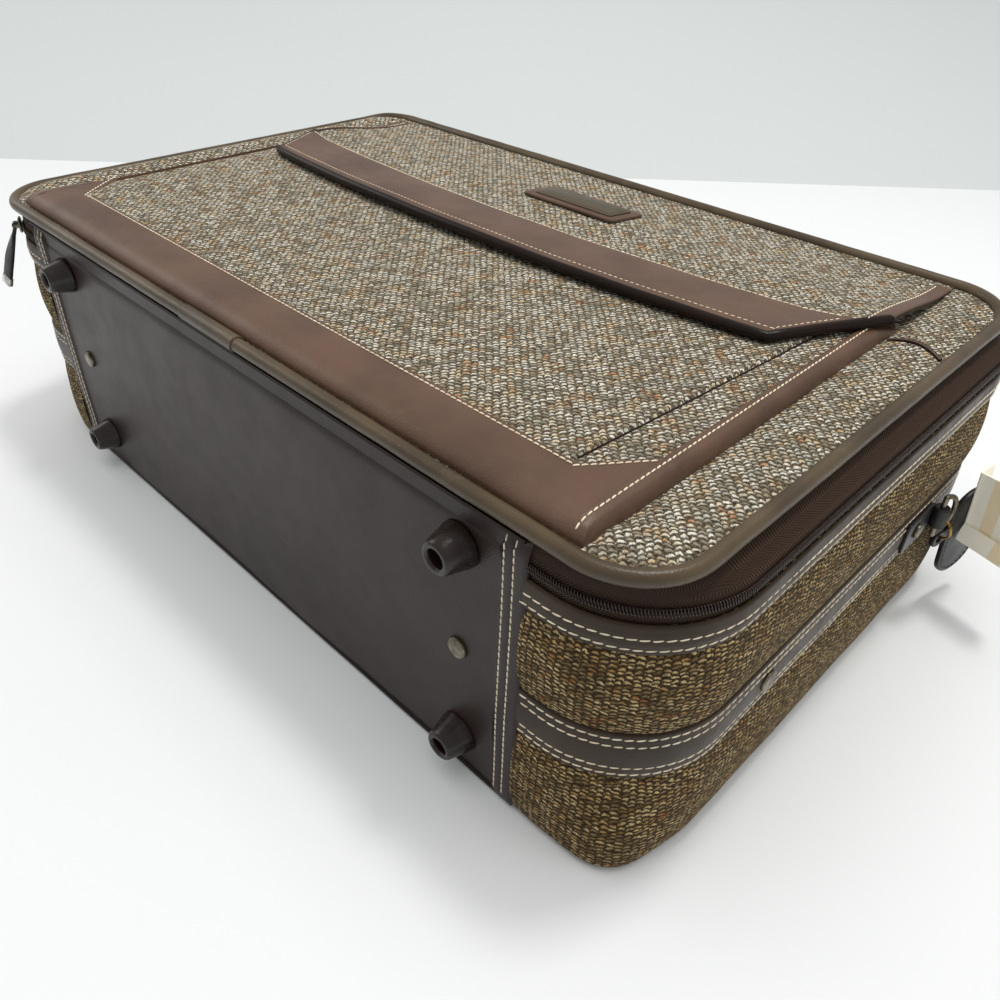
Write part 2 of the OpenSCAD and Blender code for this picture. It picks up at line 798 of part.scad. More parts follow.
module lid_zip_chain() {
    low = zip_z + chain_gap / 2;
    cord = [-tape_inset, chain_out - tooth_proud, low + tooth_proud, low + chain_h];
    color(BLACK) {
        sweep_corners(case_line) profile_box(cord[0], cord[1], cord[2], cord[3]);
        sweep_sides(case_line) profile_box(cord[0], cord[1], cord[2], cord[3]);
        sweep_top(case_line, -corner_x, corner_x) profile_box(cord[0], cord[1], cord[2], cord[3]);
        for (side = [0, 1]) mirror([side, 0, 0]) sweep_foot(case_line, seam_x + run_gap, corner_x)
            profile_box(cord[0], cord[1], cord[2], cord[3]);
        zip_teeth(low);
    }
}

// Pocket on the lid

module pocket_gusset() {
    color(LEATHER) translate([0, 0, lid_top]) linear_extrude(pocket_depth) difference() {
        translate([-pocket_hw, pocket_y]) square([2 * pocket_hw, pocket_h]);
        translate([-pocket_hw + gusset_t, pocket_y + gusset_t])
            square([2 * (pocket_hw - gusset_t), pocket_h]);
    }
}

module pocket_panel() {
    color(TWEED) translate([-pocket_hw, pocket_y, pocket_z])
        cube([2 * pocket_hw, pocket_h, pocket_panel_t]);
}

module pocket_trim() {
    inner = pocket_hw - strip_w;
    foot = pocket_y + foot_band_w;
    color(LEATHER) translate([0, 0, trim_z]) linear_extrude(leather_t) difference() {
        translate([-pocket_hw, pocket_y]) square([2 * pocket_hw, pocket_h]);
        polygon([
            [-inner + pocket_cut_x, foot], [inner - pocket_cut_x, foot], [inner, foot + pocket_cut_y],
            [inner, mouth_y + 1], [-inner, mouth_y + 1], [-inner, foot + pocket_cut_y]
        ]);
    }
}

// Raised hem that the flap folds along
module flap_welt() {
    y1 = lid_line[2] - pipe_d / 2 - seat_gap;
    color(TWEED) translate([-pocket_hw, fold_y + run_gap, lid_top])
        cube([2 * pocket_hw, y1 - fold_y - run_gap, flap_top - lid_top]);
}

// Flap

// Everything above the bowed free edge, moved up by d
module bow_plan(d) {
    translate([0, flap_y - flap_bow + bow_r + d]) circle(bow_r, $fn = bow_sides);
}

// Outline of the flap with its cut corners and bowed free edge
module flap_plan() {
    run = 2 * flap_bow;
    low_x = flap_end_x - run * flap_cut_x / flap_cut_y;
    intersection() {
        polygon([
            [-pocket_hw, fold_y], [-pocket_hw, flap_y + flap_cut_y], [-low_x, flap_y - run],
            [low_x, flap_y - run], [pocket_hw, flap_y + flap_cut_y], [pocket_hw, fold_y]
        ]);
        bow_plan(0);
    }
}

module flap_panel() {
    color(TWEED) translate([0, 0, flap_z]) linear_extrude(flap_t) flap_plan();
}

module flap_band() {
    color(LEATHER) translate([0, 0, flap_top]) linear_extrude(flap_band_t) difference() {
        flap_plan();
        bow_plan(flap_band_w);
    }
}

module flap_strips() {
    color(LEATHER) translate([0, 0, flap_top]) linear_extrude(leather_t) intersection() {
        flap_plan();
        bow_plan(flap_band_w + seat_gap);
        for (x = [-pocket_hw, pocket_hw - strip_w]) translate([x, flap_y])
            square([strip_w, flap_l - strip_fold_gap]);
    }
}

module nameplate_backing() {
    color(BLACK) translate([nameplate_x, fold_y - nameplate_y, flap_top]) linear_extrude(backing_t)
        round_rect(backing_w, backing_h, backing_r);
}

module nameplate() {
    color(BRASS) translate([nameplate_x, fold_y - nameplate_y, flap_top + backing_t]) linear_extrude(plate_t)
        round_rect(plate_w, plate_h, plate_r);
}

// Zip sliders, in a frame of their own: +X out of the wall, Y along the chain, Z up

module slider_front_place() {
    translate([-corner_x, -corner_y, zip_z]) rotate([0, 0, 180 + front_slider_a])
        translate([case_r, 0, 0]) children();
}

module slider_rear_place() {
    translate([-case_w / 2, rear_slider_y - corner_y, zip_z]) rotate([0, 0, 180]) children();
}

module slider() {
    half = pull_eye_w / 2 + run_gap + pull_leg_t;
    inner_l = slider_l - 2 * slider_r;
    color(NICKEL) {
        translate([slider_out - slider_t, 0, 0]) rotate([90, 0, 90])
            linear_extrude(slider_t) round_rect(slider_l, slider_h, slider_r);
        translate([-slider_in - slider_t, -inner_l / 2, -slider_h / 2])
            cube([slider_t, inner_l, (slider_h + slider_web_t) / 2]);
        translate([-slider_in - slider_t / 2, -slider_web_l / 2, -slider_web_t / 2])
            cube([slider_in + slider_out, slider_web_l, slider_web_t]);
        for (y = [-half, half - pull_leg_t]) translate([slider_out - slider_t / 2, y, -pull_bar_d / 2])
            cube([pull_out - slider_out + slider_t / 2, pull_leg_t, pull_bar_d]);
        translate([pull_out, 0, 0]) rotate([90, 0, 0])
            cylinder(d = pull_bar_d, h = 2 * half, center = true);
    }
}

module pull_strap() {
    eye_d = pull_bar_d + 2 * (pin_gap + pull_eye_t);
    color(BLACK) translate([pull_out, 0, 0]) rotate([0, -pull_lean, 0]) difference() {
        union() {
            rotate([90, 0, 0]) cylinder(d = eye_d, h = pull_eye_w, center = true);
            translate([-pull_t / 2, -pull_eye_w / 2, -pull_neck]) cube([pull_t, pull_eye_w, pull_neck]);
            translate([-pull_t / 2, -pull_w / 2, -pull_l + pull_tip_l])
                cube([pull_t, pull_w, pull_l - pull_tip_l - pull_neck]);
        }
        rotate([90, 0, 0]) cylinder(d = pull_bar_d + 2 * pin_gap, h = pull_w, center = true);
    }
}

module pull_tip() {
    color(NICKEL) translate([pull_out, 0, 0]) rotate([0, -pull_lean, 0])
        translate([-pull_t / 2, -pull_w / 2, -pull_l]) cube([pull_t, pull_w, pull_tip_l]);
}

module zip_slider_front() {
    slider_front_place() slider();
}

module zip_pull_front() {
    slider_front_place() pull_strap();
}

module zip_tip_front() {
    slider_front_place() pull_tip();
}

module zip_slider_rear() {
    slider_rear_place() slider();
}

module zip_pull_rear() {
    slider_rear_place() pull_strap();
}

module zip_tip_rear() {
    slider_rear_place() pull_tip();
}

// Handle, hanging down from its pins

module core_plan() {
    w = handle_span + core_w;
    difference() {
        translate([-w / 2, -handle_drop - core_w / 2]) square([w, handle_drop + core_w / 2]);
        translate([-w / 2 + core_w, -handle_drop + core_w / 2])
            square([w - 2 * core_w, handle_drop + core_w]);
        for (side = [0, 1]) mirror([side, 0]) difference() {
            translate([w / 2 - core_bend_r, -handle_drop - core_w / 2]) square(core_bend_r);
            translate([w / 2 - core_bend_r, -handle_drop - core_w / 2 + core_bend_r]) circle(core_bend_r);
        }
    }
}

module handle_core() {
    color(NICKEL) translate([0, handle_y, band_z]) difference() {
        union() {
            rotate([90, 0, 0]) linear_extrude(core_t, center = true) core_plan();
            for (x = [-handle_span / 2, handle_span / 2]) translate([x, 0, 0]) rotate([0, 90, 0])
                cylinder(d = handle_eye_d, h = ear_gap - 2 * run_gap, center = true);
        }
        for (x = [-handle_span / 2, handle_span / 2]) translate([x, 0, 0]) rotate([0, 90, 0])
            cylinder(d = handle_pin_d + 2 * pin_gap, h = ear_gap + 2, center = true);
    }
}

module handle_grip() {
    r0 = grip_end_d / 2;
    rise = (grip_d - grip_end_d) / 2;
    barrel_r = (grip_l * grip_l / 4 + rise * rise) / (2 * rise);
    barrel_sides = 1440;
    color(DARK_LEATHER) translate([0, handle_y, band_z - handle_drop]) difference() {
        rotate([0, 90, 0]) rotate_extrude() intersection() {
            translate([r0 + rise - barrel_r, 0]) circle(barrel_r, $fn = barrel_sides);
            translate([0, -grip_l / 2]) square([grip_d, grip_l]);
        }
        cube([grip_l + 2, core_t, core_w], center = true);
    }
}

// D-ring and luggage tag, in the ring's own frame: Y from the bar to the bow's outer end, Z up

module ring_place() {
    translate(ring_bar) rotate([0, 0, -ring_turn]) children();
}

module d_ring() {
    color(NICKEL) ring_place() {
        cylinder(d = ring_wire_d, h = 2 * ring_r, center = true);
        rotate([0, 90, 0]) rotate_extrude(angle = 180) translate([ring_r, 0]) circle(d = ring_wire_d);
        for (end = [-1, 1]) translate([0, 0, end * ring_r]) sphere(d = ring_wire_d);
    }
}

// Puts a piece at the place on the bow where the split ring hangs
module hook_place() {
    ring_place() translate([0, hook_reach, hook_z]) children();
}

module split_ring() {
    color(BRASS) hook_place() translate([0, 0, -split_drop]) rotate([90, 0, 0])
        rotate_extrude() translate([split_r, 0]) circle(d = split_wire_d);
}

// Outline of the tag, with round ends and an ear at its side for the split ring
module tag_plan() {
    mid = tag_gap + tag_w / 2;
    low = tag_rise - tag_l + tag_w / 2;
    high = tag_rise - tag_w / 2;
    difference() {
        union() {
            for (y = [low, high]) translate([mid, y]) circle(d = tag_w);
            translate([tag_gap, low]) square([tag_w, high - low]);
            translate([0, -ear_w / 2]) square([mid, ear_w]);
            circle(d = ear_w);
        }
        circle(d = eyelet_d);
    }
}

module luggage_tag() {
    color(BLACK) hook_place() translate([0, 0, eyelet_z]) rotate([90, 0, 90])
        linear_extrude(tag_t, center = true) tag_plan();
}

// Folded card: one leaf lies on the tag, the other stands out from it
module tag_card() {
    color(CREAM) hook_place() translate([tag_t / 2, tag_gap + card_gap, eyelet_z + card_rise - card_l]) {
        cube([card_t, card_leaf_w, card_l]);
        rotate([0, 0, card_bend - 90]) cube([card_w, card_t, card_l]);
    }
}

case_wall();
back_panel();
back_board();
bottom_panel();
bottom_board();
case_lining();
rim_hoop();
rim_binding();
side_band();
case_zip_tape();
case_zip_chain();
zip_stops();
hinge_fold();
foot_upper_left();
foot_upper_right();
foot_lower_left();
foot_lower_right();
foot_screws();
bottom_rivets();
side_rivets();
handle_bracket_left();
handle_bracket_right();
handle_pins();
ring_tab();
ring_tab_rivet();
lid_panel();
lid_board();
lid_lining();
lid_piping();
lid_zip_tape();
lid_zip_chain();
pocket_gusset();
pocket_panel();
pocket_trim();
flap_welt();
flap_panel();
flap_band();
flap_strips();
nameplate_backing();
nameplate();
zip_slider_front();
zip_pull_front();
zip_tip_front();
zip_slider_rear();
zip_pull_rear();
zip_tip_rear();
handle_core();
handle_grip();
d_ring();
split_ring();
luggage_tag();
tag_card();
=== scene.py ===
"""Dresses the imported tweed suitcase: cloth, leather, stitching, zip and fittings, in a plain studio."""
import logging
from dataclasses import dataclass
from enum import Enum
from functools import lru_cache
from math import atan2, cos, degrees, dist, exp, hypot, pi, radians, sin, sqrt
from typing import Callable, Mapping, Optional, Sequence, Union

import bmesh
import bpy
from mathutils import Matrix, Vector, noise


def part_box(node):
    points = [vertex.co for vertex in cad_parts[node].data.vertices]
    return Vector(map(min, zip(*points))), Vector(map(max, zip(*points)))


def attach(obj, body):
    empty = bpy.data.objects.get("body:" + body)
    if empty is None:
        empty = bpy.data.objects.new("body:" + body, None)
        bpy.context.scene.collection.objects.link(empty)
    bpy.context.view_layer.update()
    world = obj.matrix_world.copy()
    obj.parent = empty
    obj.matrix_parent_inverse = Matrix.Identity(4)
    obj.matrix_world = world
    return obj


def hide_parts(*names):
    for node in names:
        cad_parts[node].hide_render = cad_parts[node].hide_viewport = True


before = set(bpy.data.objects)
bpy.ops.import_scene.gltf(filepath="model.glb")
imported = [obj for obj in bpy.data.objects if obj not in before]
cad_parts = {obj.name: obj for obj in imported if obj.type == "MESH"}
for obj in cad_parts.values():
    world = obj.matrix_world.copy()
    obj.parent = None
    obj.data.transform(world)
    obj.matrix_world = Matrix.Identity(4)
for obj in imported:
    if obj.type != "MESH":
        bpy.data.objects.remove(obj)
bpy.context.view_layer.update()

MM = 0.001
log = logging.getLogger("suitcase")

Pair = tuple[float, float]
Point = tuple[float, float, float]
Colour = tuple[float, float, float, float]
Row = tuple[float, ...]
Pairs = tuple[Pair, ...]
Wire = bpy.types.NodeSocket
Socket = Union[Wire, float, Colour, Point]
Feed = Mapping[Union[int, str], Socket]
Height = Callable[[float, float], float]
SheetRow = tuple[Sequence[Pair], Height, Height]

# Lengths that several pieces share, in millimetres: heights of the points round a lower edge, radius of a
# cut leather edge, and half width of the groove under a row of stitches.
EDGE_HEIGHTS = (0.0, 0.4, 1.2, 2.4, 4.0, 6.0)
EDGE_ROLL = 1.3
ROW_PRESS = 0.8


class Body(str, Enum):
    """The moving bodies of the suitcase."""

    CASE = "case"
    LID = "lid"
    FLAP = "flap"
    SLIDER_FRONT = "slider_front"
    PULL_FRONT = "pull_front"
    SLIDER_REAR = "slider_rear"
    PULL_REAR = "pull_rear"
    HANDLE = "handle"
    D_RING = "d_ring"
    TAG = "tag"


class Slot(str, Enum):
    """The material slots of the record."""

    TWEED = "tweed"
    BROWN_LEATHER = "brown_leather"
    DARK_LEATHER = "dark_leather"
    PIPING = "piping"
    ZIP_TAPE = "zip_tape"
    ZIP_CHAIN = "zip_chain"
    BLACK_LEATHER = "black_leather"
    FOOT_PLASTIC = "foot_plastic"
    NICKEL = "nickel"
    BRASS = "brass"
    BOARD = "board"
    LINING = "lining"
    CARD = "card"


# Shapes


@dataclass(frozen=True)
class Station:
    """One place on an outline, with its outward direction and its distance along the outline."""

    x: float
    y: float
    nx: float
    ny: float
    s: float

    def out(self, d: float, z: float) -> Point:
        """The point at distance d outside the outline and height z."""
        return (self.x + self.nx * d, self.y + self.ny * d, z)


@dataclass(frozen=True)
class Outline:
    """A plan with straight sides and round corners, in millimetres."""

    half_w: float
    low: float
    high: float
    radius: float

    def depth(self, x: float, y: float) -> float:
        """Distance from a point inside the outline to its nearest edge, below zero outside.

        Args:
            x: Place across.
            y: Place along.

        Returns:
            The distance.
        """
        qx = abs(x) - self.half_w + self.radius
        qy = abs(y - (self.low + self.high) / 2) - (self.high - self.low) / 2 + self.radius
        return self.radius - hypot(max(qx, 0.0), max(qy, 0.0)) - min(max(qx, qy), 0.0)

    def half_width(self, y: float) -> float:
        """Half of the outline's width at one y.

        Args:
            y: Place along the outline.

        Returns:
            Half of the width.
        """
        edge = min(y - self.low, self.high - y)
        if edge >= self.radius:
            return self.half_w
        return self.half_w - self.radius + sqrt(max(0.0, self.radius ** 2 - (self.radius - edge) ** 2))

    def inset(self, d: float) -> "Outline":
        """The outline that lies a distance inside this one."""
        return Outline(self.half_w - d, self.low + d, self.high - d, self.radius - d)

    def walk(self, seam: Optional[float], fine: int = 1) -> list[Station]:
        """Stations along the outline.

        Args:
            seam: Half distance between the two seams where an open walk starts and ends, or None for
                the whole loop.
            fine: How many times finer than the plain walk.

        Returns:
            Stations from the left seam over the handle side to the right seam, or round the loop.
        """
        x, r = self.half_w - self.radius, self.radius
        tail, arc, side, top = 3 * fine, 10 * fine, 30 * fine, 54 * fine
        foot_n = tail if seam is not None else top // 2
        start = seam if seam is not None else 0.0
        spots: list[tuple[float, float, float, float]] = []

        def straight(a: Pair, b: Pair, n: Pair, count: int) -> None:
            """Adds stations on a straight side."""
            for i in range(count):
                spots.append((*lerp(a, b, i / count), *n))

        def corner(cx: float, cy: float, a0: float) -> None:
            """Adds stations on a corner, turning clockwise."""
            for a in [radians(a0 - 90 * i / arc) for i in range(arc)]:
                spots.append((cx + r * cos(a), cy + r * sin(a), cos(a), sin(a)))

        straight((-start, self.low), (-x, self.low), (0, -1), foot_n)
        corner(-x, self.low + r, 270)
        straight((-self.half_w, self.low + r), (-self.half_w, self.high - r), (-1, 0), side)
        corner(-x, self.high - r, 180)
        straight((-x, self.high), (x, self.high), (0, 1), top)
        corner(x, self.high - r, 90)
        straight((self.half_w, self.high - r), (self.half_w, self.low + r), (1, 0), side)
        corner(x, self.low + r, 0)
        straight((x, self.low), (start, self.low), (0, -1), foot_n)
        if seam is not None:
            spots.append((start, self.low, 0, -1))
        found, s = [], 0.0
        for i, p in enumerate(spots):
            if i:
                s += dist(p[:2], spots[i - 1][:2])
            found.append(Station(*p, s))
        return found


CASE_LINE = Outline(281.0, -174.0, 174.0, 54.0)
LID_LINE = Outline(270.0, -173.0, 162.0, 34.0)
SEAM_X = 216.0
ALONG_X = ((0, 1, 0), (0, 0, 1), (1, 0, 0))


@dataclass(frozen=True)
class Placement:
    """A small frame of its own for a piece: an origin and three directions."""

    origin: Point
    a: Point
    b: Point
    c: Point

    def put(self, u: float, v: float, w: float) -> Point:
        """The point with these three distances in this frame."""
        return tuple(self.origin[i] + u * self.a[i] + v * self.b[i] + w * self.c[i] for i in range(3))


class Mesher:
    """Gathers the points and faces of one piece, in millimetres, with their lengths over the surface."""

    def __init__(self) -> None:
        """Starts with no points."""
        self.points: list[Point] = []
        self.faces: list[list[int]] = []
        self.lengths: list[list[Pair]] = []

    def loft(self, rows: Sequence[Sequence[Point]], loop: bool = False, flat: bool = False,
             along: Optional[Sequence[float]] = None, caps: bool = True) -> None:
        """Joins closed rings of points into a solid.

        Args:
            rows: The rings, each with the same number of points.
            loop: True where the last ring joins the first one.
            flat: True to measure the surface in plan instead of along and across.
            along: Distance of each ring along the piece, measured here where it isn't given.
            caps: True to close both ends.
        """
        base, n, m = len(self.points), len(rows), len(rows[0])
        for row in rows:
            self.points.extend(row)
        if along is None:
            mids = [tuple(sum(p[k] for p in row) / m for k in range(3)) for row in rows]
            along = [0.0]
            for a, b in zip(mids, mids[1:]):
                along.append(along[-1] + dist(a, b))
        middle = rows[n // 2]
        across = [0.0]
        for j in range(m):
            across.append(across[-1] + dist(middle[j], middle[(j + 1) % m]))
        last = along[-1] + dist(rows[-1][0], rows[0][0])

        def length(i: int, j: int) -> Pair:
            """Place of a corner on the surface."""
            p = rows[i % n][j % m]
            return (p[0], p[1]) if flat else (along[i] if i < n else last, across[j])

        for i in range(n if loop else n - 1):
            for j in range(m):
                corners = [(i, j), (i, j + 1), (i + 1, j + 1), (i + 1, j)]
                self.faces.append([base + (a % n) * m + b % m for a, b in corners])
                self.lengths.append([length(a, b) for a, b in corners])
        if caps and not loop:
            for i in (0, n - 1):
                self.faces.append([base + i * m + j for j in range(m)])
                self.lengths.append([length(i, j) for j in range(m)])

    def turned(self, place: Placement, profile: Sequence[Pair], sides: int = 32) -> None:
        """Adds a solid turned round a frame's third direction, from each ring's radius and height."""
        turns = angles(sides)
        self.loft([[place.put(r * cos(t), r * sin(t), h) for t in turns] for r, h in profile])

    def hoop(self, place: Placement, section: Sequence[Pair], sides: int) -> None:
        """Adds a closed ring round a frame's third direction, from its section's radii and heights."""
        self.loft([[place.put(r * cos(t), r * sin(t), h) for r, h in section]
                   for t in angles(sides)], loop=True)

    def plate(self, place: Placement, plan: Sequence[Pair], low: float, high: float, bevel: float) -> None:
        """Adds a flat solid with eased edges.

        Args:
            place: Frame whose third direction is the thickness.
            plan: Outline, anticlockwise.
            low: Lower face.
            high: Upper face.
            bevel: Width of the eased edge.
        """
        steps = ((1.0, 0.0), (0.3, 0.3), (0.0, 1.0))
        levels = [(inset * bevel, low + rise * bevel) for inset, rise in steps]
        levels += [(inset * bevel, high - rise * bevel) for inset, rise in reversed(steps)]
        self.loft([[place.put(u, v, h) for u, v in inset_plan(plan, d)] for d, h in levels])

    def tube(self, line: Sequence[Point], radius: float, sides: int = 8, loop: bool = False,
             up: Point = (0.0, 0.0, 1.0)) -> None:
        """Adds a round cord along a line.

        Args:
            line: Points of its middle.
            radius: Its radius.
            sides: Points round it.
            loop: True where it closes on itself.
            up: Direction that is never along the line.
        """
        rows, n = [], len(line)
        for i, p in enumerate(line):
            a = line[i - 1] if i or loop else p
            b = line[(i + 1) % n] if i < n - 1 or loop else p
            t = (Vector(b) - Vector(a)).normalized()
            side = t.cross(Vector(up)).normalized()
            over = side.cross(t)
            rows.append([tuple(Vector(p) + radius * (side * cos(k) + over * sin(k))) for k in angles(sides)])
        self.loft(rows, loop=loop)

    def slab(self, rows: Sequence[SheetRow]) -> None:
        """Adds a sheet with thickness, from each row's points in plan, upper and lower height."""
        self.loft([[(x, y, top(x, y)) for x, y in plan] + [(x, y, low(x, y)) for x, y in reversed(plan)]
                   for plan, top, low in rows], flat=True)

    def sheet(self, line: Outline, top: Height, low: Height, step: float = 10.0) -> None:
        """Adds a sheet that fills an outline.

        Args:
            line: The outline.
            top: Upper height at a place.
            low: Lower height at a place.
            step: Distance between points in the middle.
        """
        rows = []
        for y in crowded(line.low, line.high, step):
            w = line.half_width(y)
            rows.append(([(x, y) for x in crowded(-w, w, step, like=2 * line.half_w)], top, low))
        self.slab(rows)

    def stitches(self, line: Sequence[tuple[Point, Point]], pitch: float = 3.4, length: float = 2.8,
                 radius: float = 0.39) -> None:
        """Adds a row of single stitches.

        Args:
            line: Points with the surface's outward direction.
            pitch: Distance from one stitch to the next.
            length: Length of a stitch.
            radius: Radius of the thread.
        """
        shape = ((-0.5, 0.35), (-0.34, 0.9), (0.0, 1.0), (0.34, 0.9), (0.5, 0.35))
        slant, lift, sink = 0.1, 0.1, 0.5
        due, s = pitch / 2, 0.0
        for (p, p_out), (q, q_out) in zip(line, line[1:]):
            run = dist(p, q)
            while run and due <= s + run:
                k = (due - s) / run
                mid = Vector(p).lerp(Vector(q), k)
                up = Vector(p_out).lerp(Vector(q_out), k).normalized()
                t = (Vector(q) - Vector(p)).normalized()
                t = (t + slant * up.cross(t)).normalized()
                side = up.cross(t)
                rows = []
                for place, size in shape:
                    middle = mid + t * place * length + up * (lift - sink * abs(place) ** 2)
                    rows.append([tuple(middle + radius * size * (side * cos(a) + up * sin(a)))
                                 for a in angles(6)])
                self.loft(rows)
                due += pitch
            s += run

    def piece(self, name: str, finish: "Finish", body: Body, slot: Slot, *stands_for: str,
              crease: float = 38.0) -> bpy.types.Object:
        """Turns what was gathered into one dressed piece that rides on a body.

        Args:
            name: Name of the piece.
            finish: Its finish.
            body: The body that carries it.
            slot: The record's material slot; not used.
            stands_for: CAD nodes that it stands for.
            crease: Edges that turn by more than these degrees stay sharp.

        Returns:
            The new object.
        """
        mesh = bpy.data.meshes.new(name)
        mesh.from_pydata([tuple(c * MM for c in p) for p in self.points], [], self.faces)
        layer = mesh.uv_layers.new(name="surface")
        flat = [c * MM for face in self.lengths for pair in face for c in pair]
        layer.data.foreach_set("uv", flat)
        work = bmesh.new()
        work.from_mesh(mesh)
        bmesh.ops.recalc_face_normals(work, faces=work.faces)
        work.to_mesh(mesh)
        work.free()
        mesh.polygons.foreach_set("use_smooth", [True] * len(mesh.polygons))
        mesh.set_sharp_from_angle(angle=radians(crease))
        mesh.materials.append(finish.material())
        obj = bpy.data.objects.new(name, mesh)
        bpy.context.scene.collection.objects.link(obj)
        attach(obj, body.value)
        if stands_for:
            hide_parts(*stands_for)
        log.info("%s: %d points on %s", name, len(self.points), body.value)
        return obj


def inset_plan(plan: Sequence[Pair], d: float) -> list[Pair]:
    """Moves every side of an anticlockwise outline inward.

    Args:
        plan: The outline.
        d: Distance to move.

    Returns:
        The smaller outline.
    """
    n, moved, least = len(plan), [], 0.3
    for i in range(n):
        (px, py), (x, y), (qx, qy) = plan[i - 1], plan[i], plan[(i + 1) % n]
        l1, l2 = hypot(x - px, y - py) or 1.0, hypot(qx - x, qy - y) or 1.0
        n1, n2 = ((y - py) / l1, (px - x) / l1), ((qy - y) / l2, (x - qx) / l2)
        k = d / max(least, 1 + n1[0] * n2[0] + n1[1] * n2[1])
        moved.append((x - (n1[0] + n2[0]) * k, y - (n1[1] + n2[1]) * k))
    return moved


def round_rect(w: float, h: float, r: float, steps: int = 5) -> list[Pair]:
    """Outline of a rectangle with round corners, anticlockwise and centred.

    Args:
        w: Width.
        h: Height.
        r: Corner radius.
        steps: Points on each corner.

    Returns:
        The outline.
    """
    found = []
    for cx, cy, a0 in ((1, -1, -90), (1, 1, 0), (-1, 1, 90), (-1, -1, 180)):
        for i in range(steps + 1):
            a = radians(a0 + 90 * i / steps)
            found.append((cx * (w / 2 - r) + r * cos(a), cy * (h / 2 - r) + r * sin(a)))
    return found


def angles(count: int) -> list[float]:
    """Even angles once round a circle."""
    return [2 * pi * k / count for k in range(count)]


def cos_sin(angle: float) -> Pair:
    """Cosine and sine of an angle in degrees."""
    return (cos(radians(angle)), sin(radians(angle)))


def lerp(a: Pair, b: Pair, t: float) -> Pair:
    """The point a share of the way from a to b."""
    return (a[0] + (b[0] - a[0]) * t, a[1] + (b[1] - a[1]) * t)


def bell(distance: float, width: float) -> float:
    """Round hump that is 1 at no distance and fades out over a width."""
    return exp(-(distance / width) ** 2)


def tuck(z: float, radius: float) -> float:
    """How far a rounded lower edge draws in at one height."""
    return 0.0 if z >= radius else radius - sqrt(max(0.0, radius ** 2 - (radius - z) ** 2))


def ease(t: float) -> float:
    """Smooth step from 0 to 1."""
    t = min(1.0, max(0.0, t))
    return t * t * (3 - 2 * t)


def rolled(edge: float, radius: float) -> float:
    """Share of full thickness at a distance from a rounded edge."""
    k = 1 - min(1.0, max(0.0, edge / radius))
    return sqrt(max(0.0, 1 - k * k))


def ramp(value: float, over: Pair) -> float:
    """Smooth step from 0 to 1 that begins at the pair's first value and takes its second one."""
    return ease((value - over[0]) / over[1])


def wave(uneven: Pair, x: float, y: float, z: float) -> float:
    """Slow unevenness of a sewn surface, from the height and the size of its waves."""
    height, size = uneven
    return height * noise.noise(Vector((x / size, y / size, z / size)))


def spread(a: float, b: float, step: float) -> list[float]:
    """Even steps from a to b, both included."""
    n = max(1, round(abs(b - a) / step))
    return [a + (b - a) * i / n for i in range(n + 1)]


def crowded(a: float, b: float, step: float, edge: float = 6.0, like: Optional[float] = None) -> list[float]:
    """Steps from a to b that are closer together near both ends.

    Args:
        a: First value.
        b: Last value.
        step: Step in the middle.
        edge: Width of the fine zone at each end.
        like: A length whose number of steps is kept, for rows of unequal length in one sheet.

    Returns:
        The values, both ends included.
    """
    near = (0.0, 0.04, 0.12, 0.24, 0.44, 0.7)
    n = max(1, round(((b - a if like is None else like) - 2 * edge) / step))
    edge = min(edge, (b - a) / 3)
    middle = [a + edge + (b - a - 2 * edge) * i / n for i in range(n + 1)]
    return [a + edge * v for v in near] + middle + [b - edge * v for v in reversed(near)]


def leather_ring(thick: float, z0: float, z1: float, rows: Sequence[float], crown: float) -> list[Pair]:
    """Section of a sewn leather strip, from its lower to its upper edge.

    Args:
        thick: Distance of its outer face.
        z0: Lower edge.
        z1: Upper edge.
        rows: Heights of the stitch rows, which press in.
        crown: Extra thickness in the middle.

    Returns:
        Pairs of distance and height.
    """
    step, fine, thin, groove = 1.6, 5.0, 0.12, 0.35
    ring = [(0.0, z0)]
    for z in crowded(z0, z1, step, fine):
        edge = min(z - z0, z1 - z)
        d = thick * max(thin, rolled(edge, EDGE_ROLL)) + crown * ease(edge / (z1 - z0) * 2)
        d -= sum(groove * bell(z - row, ROW_PRESS) for row in rows)
        ring.append((d, z))
    return ring + [(0.0, z1)]


# Finishes


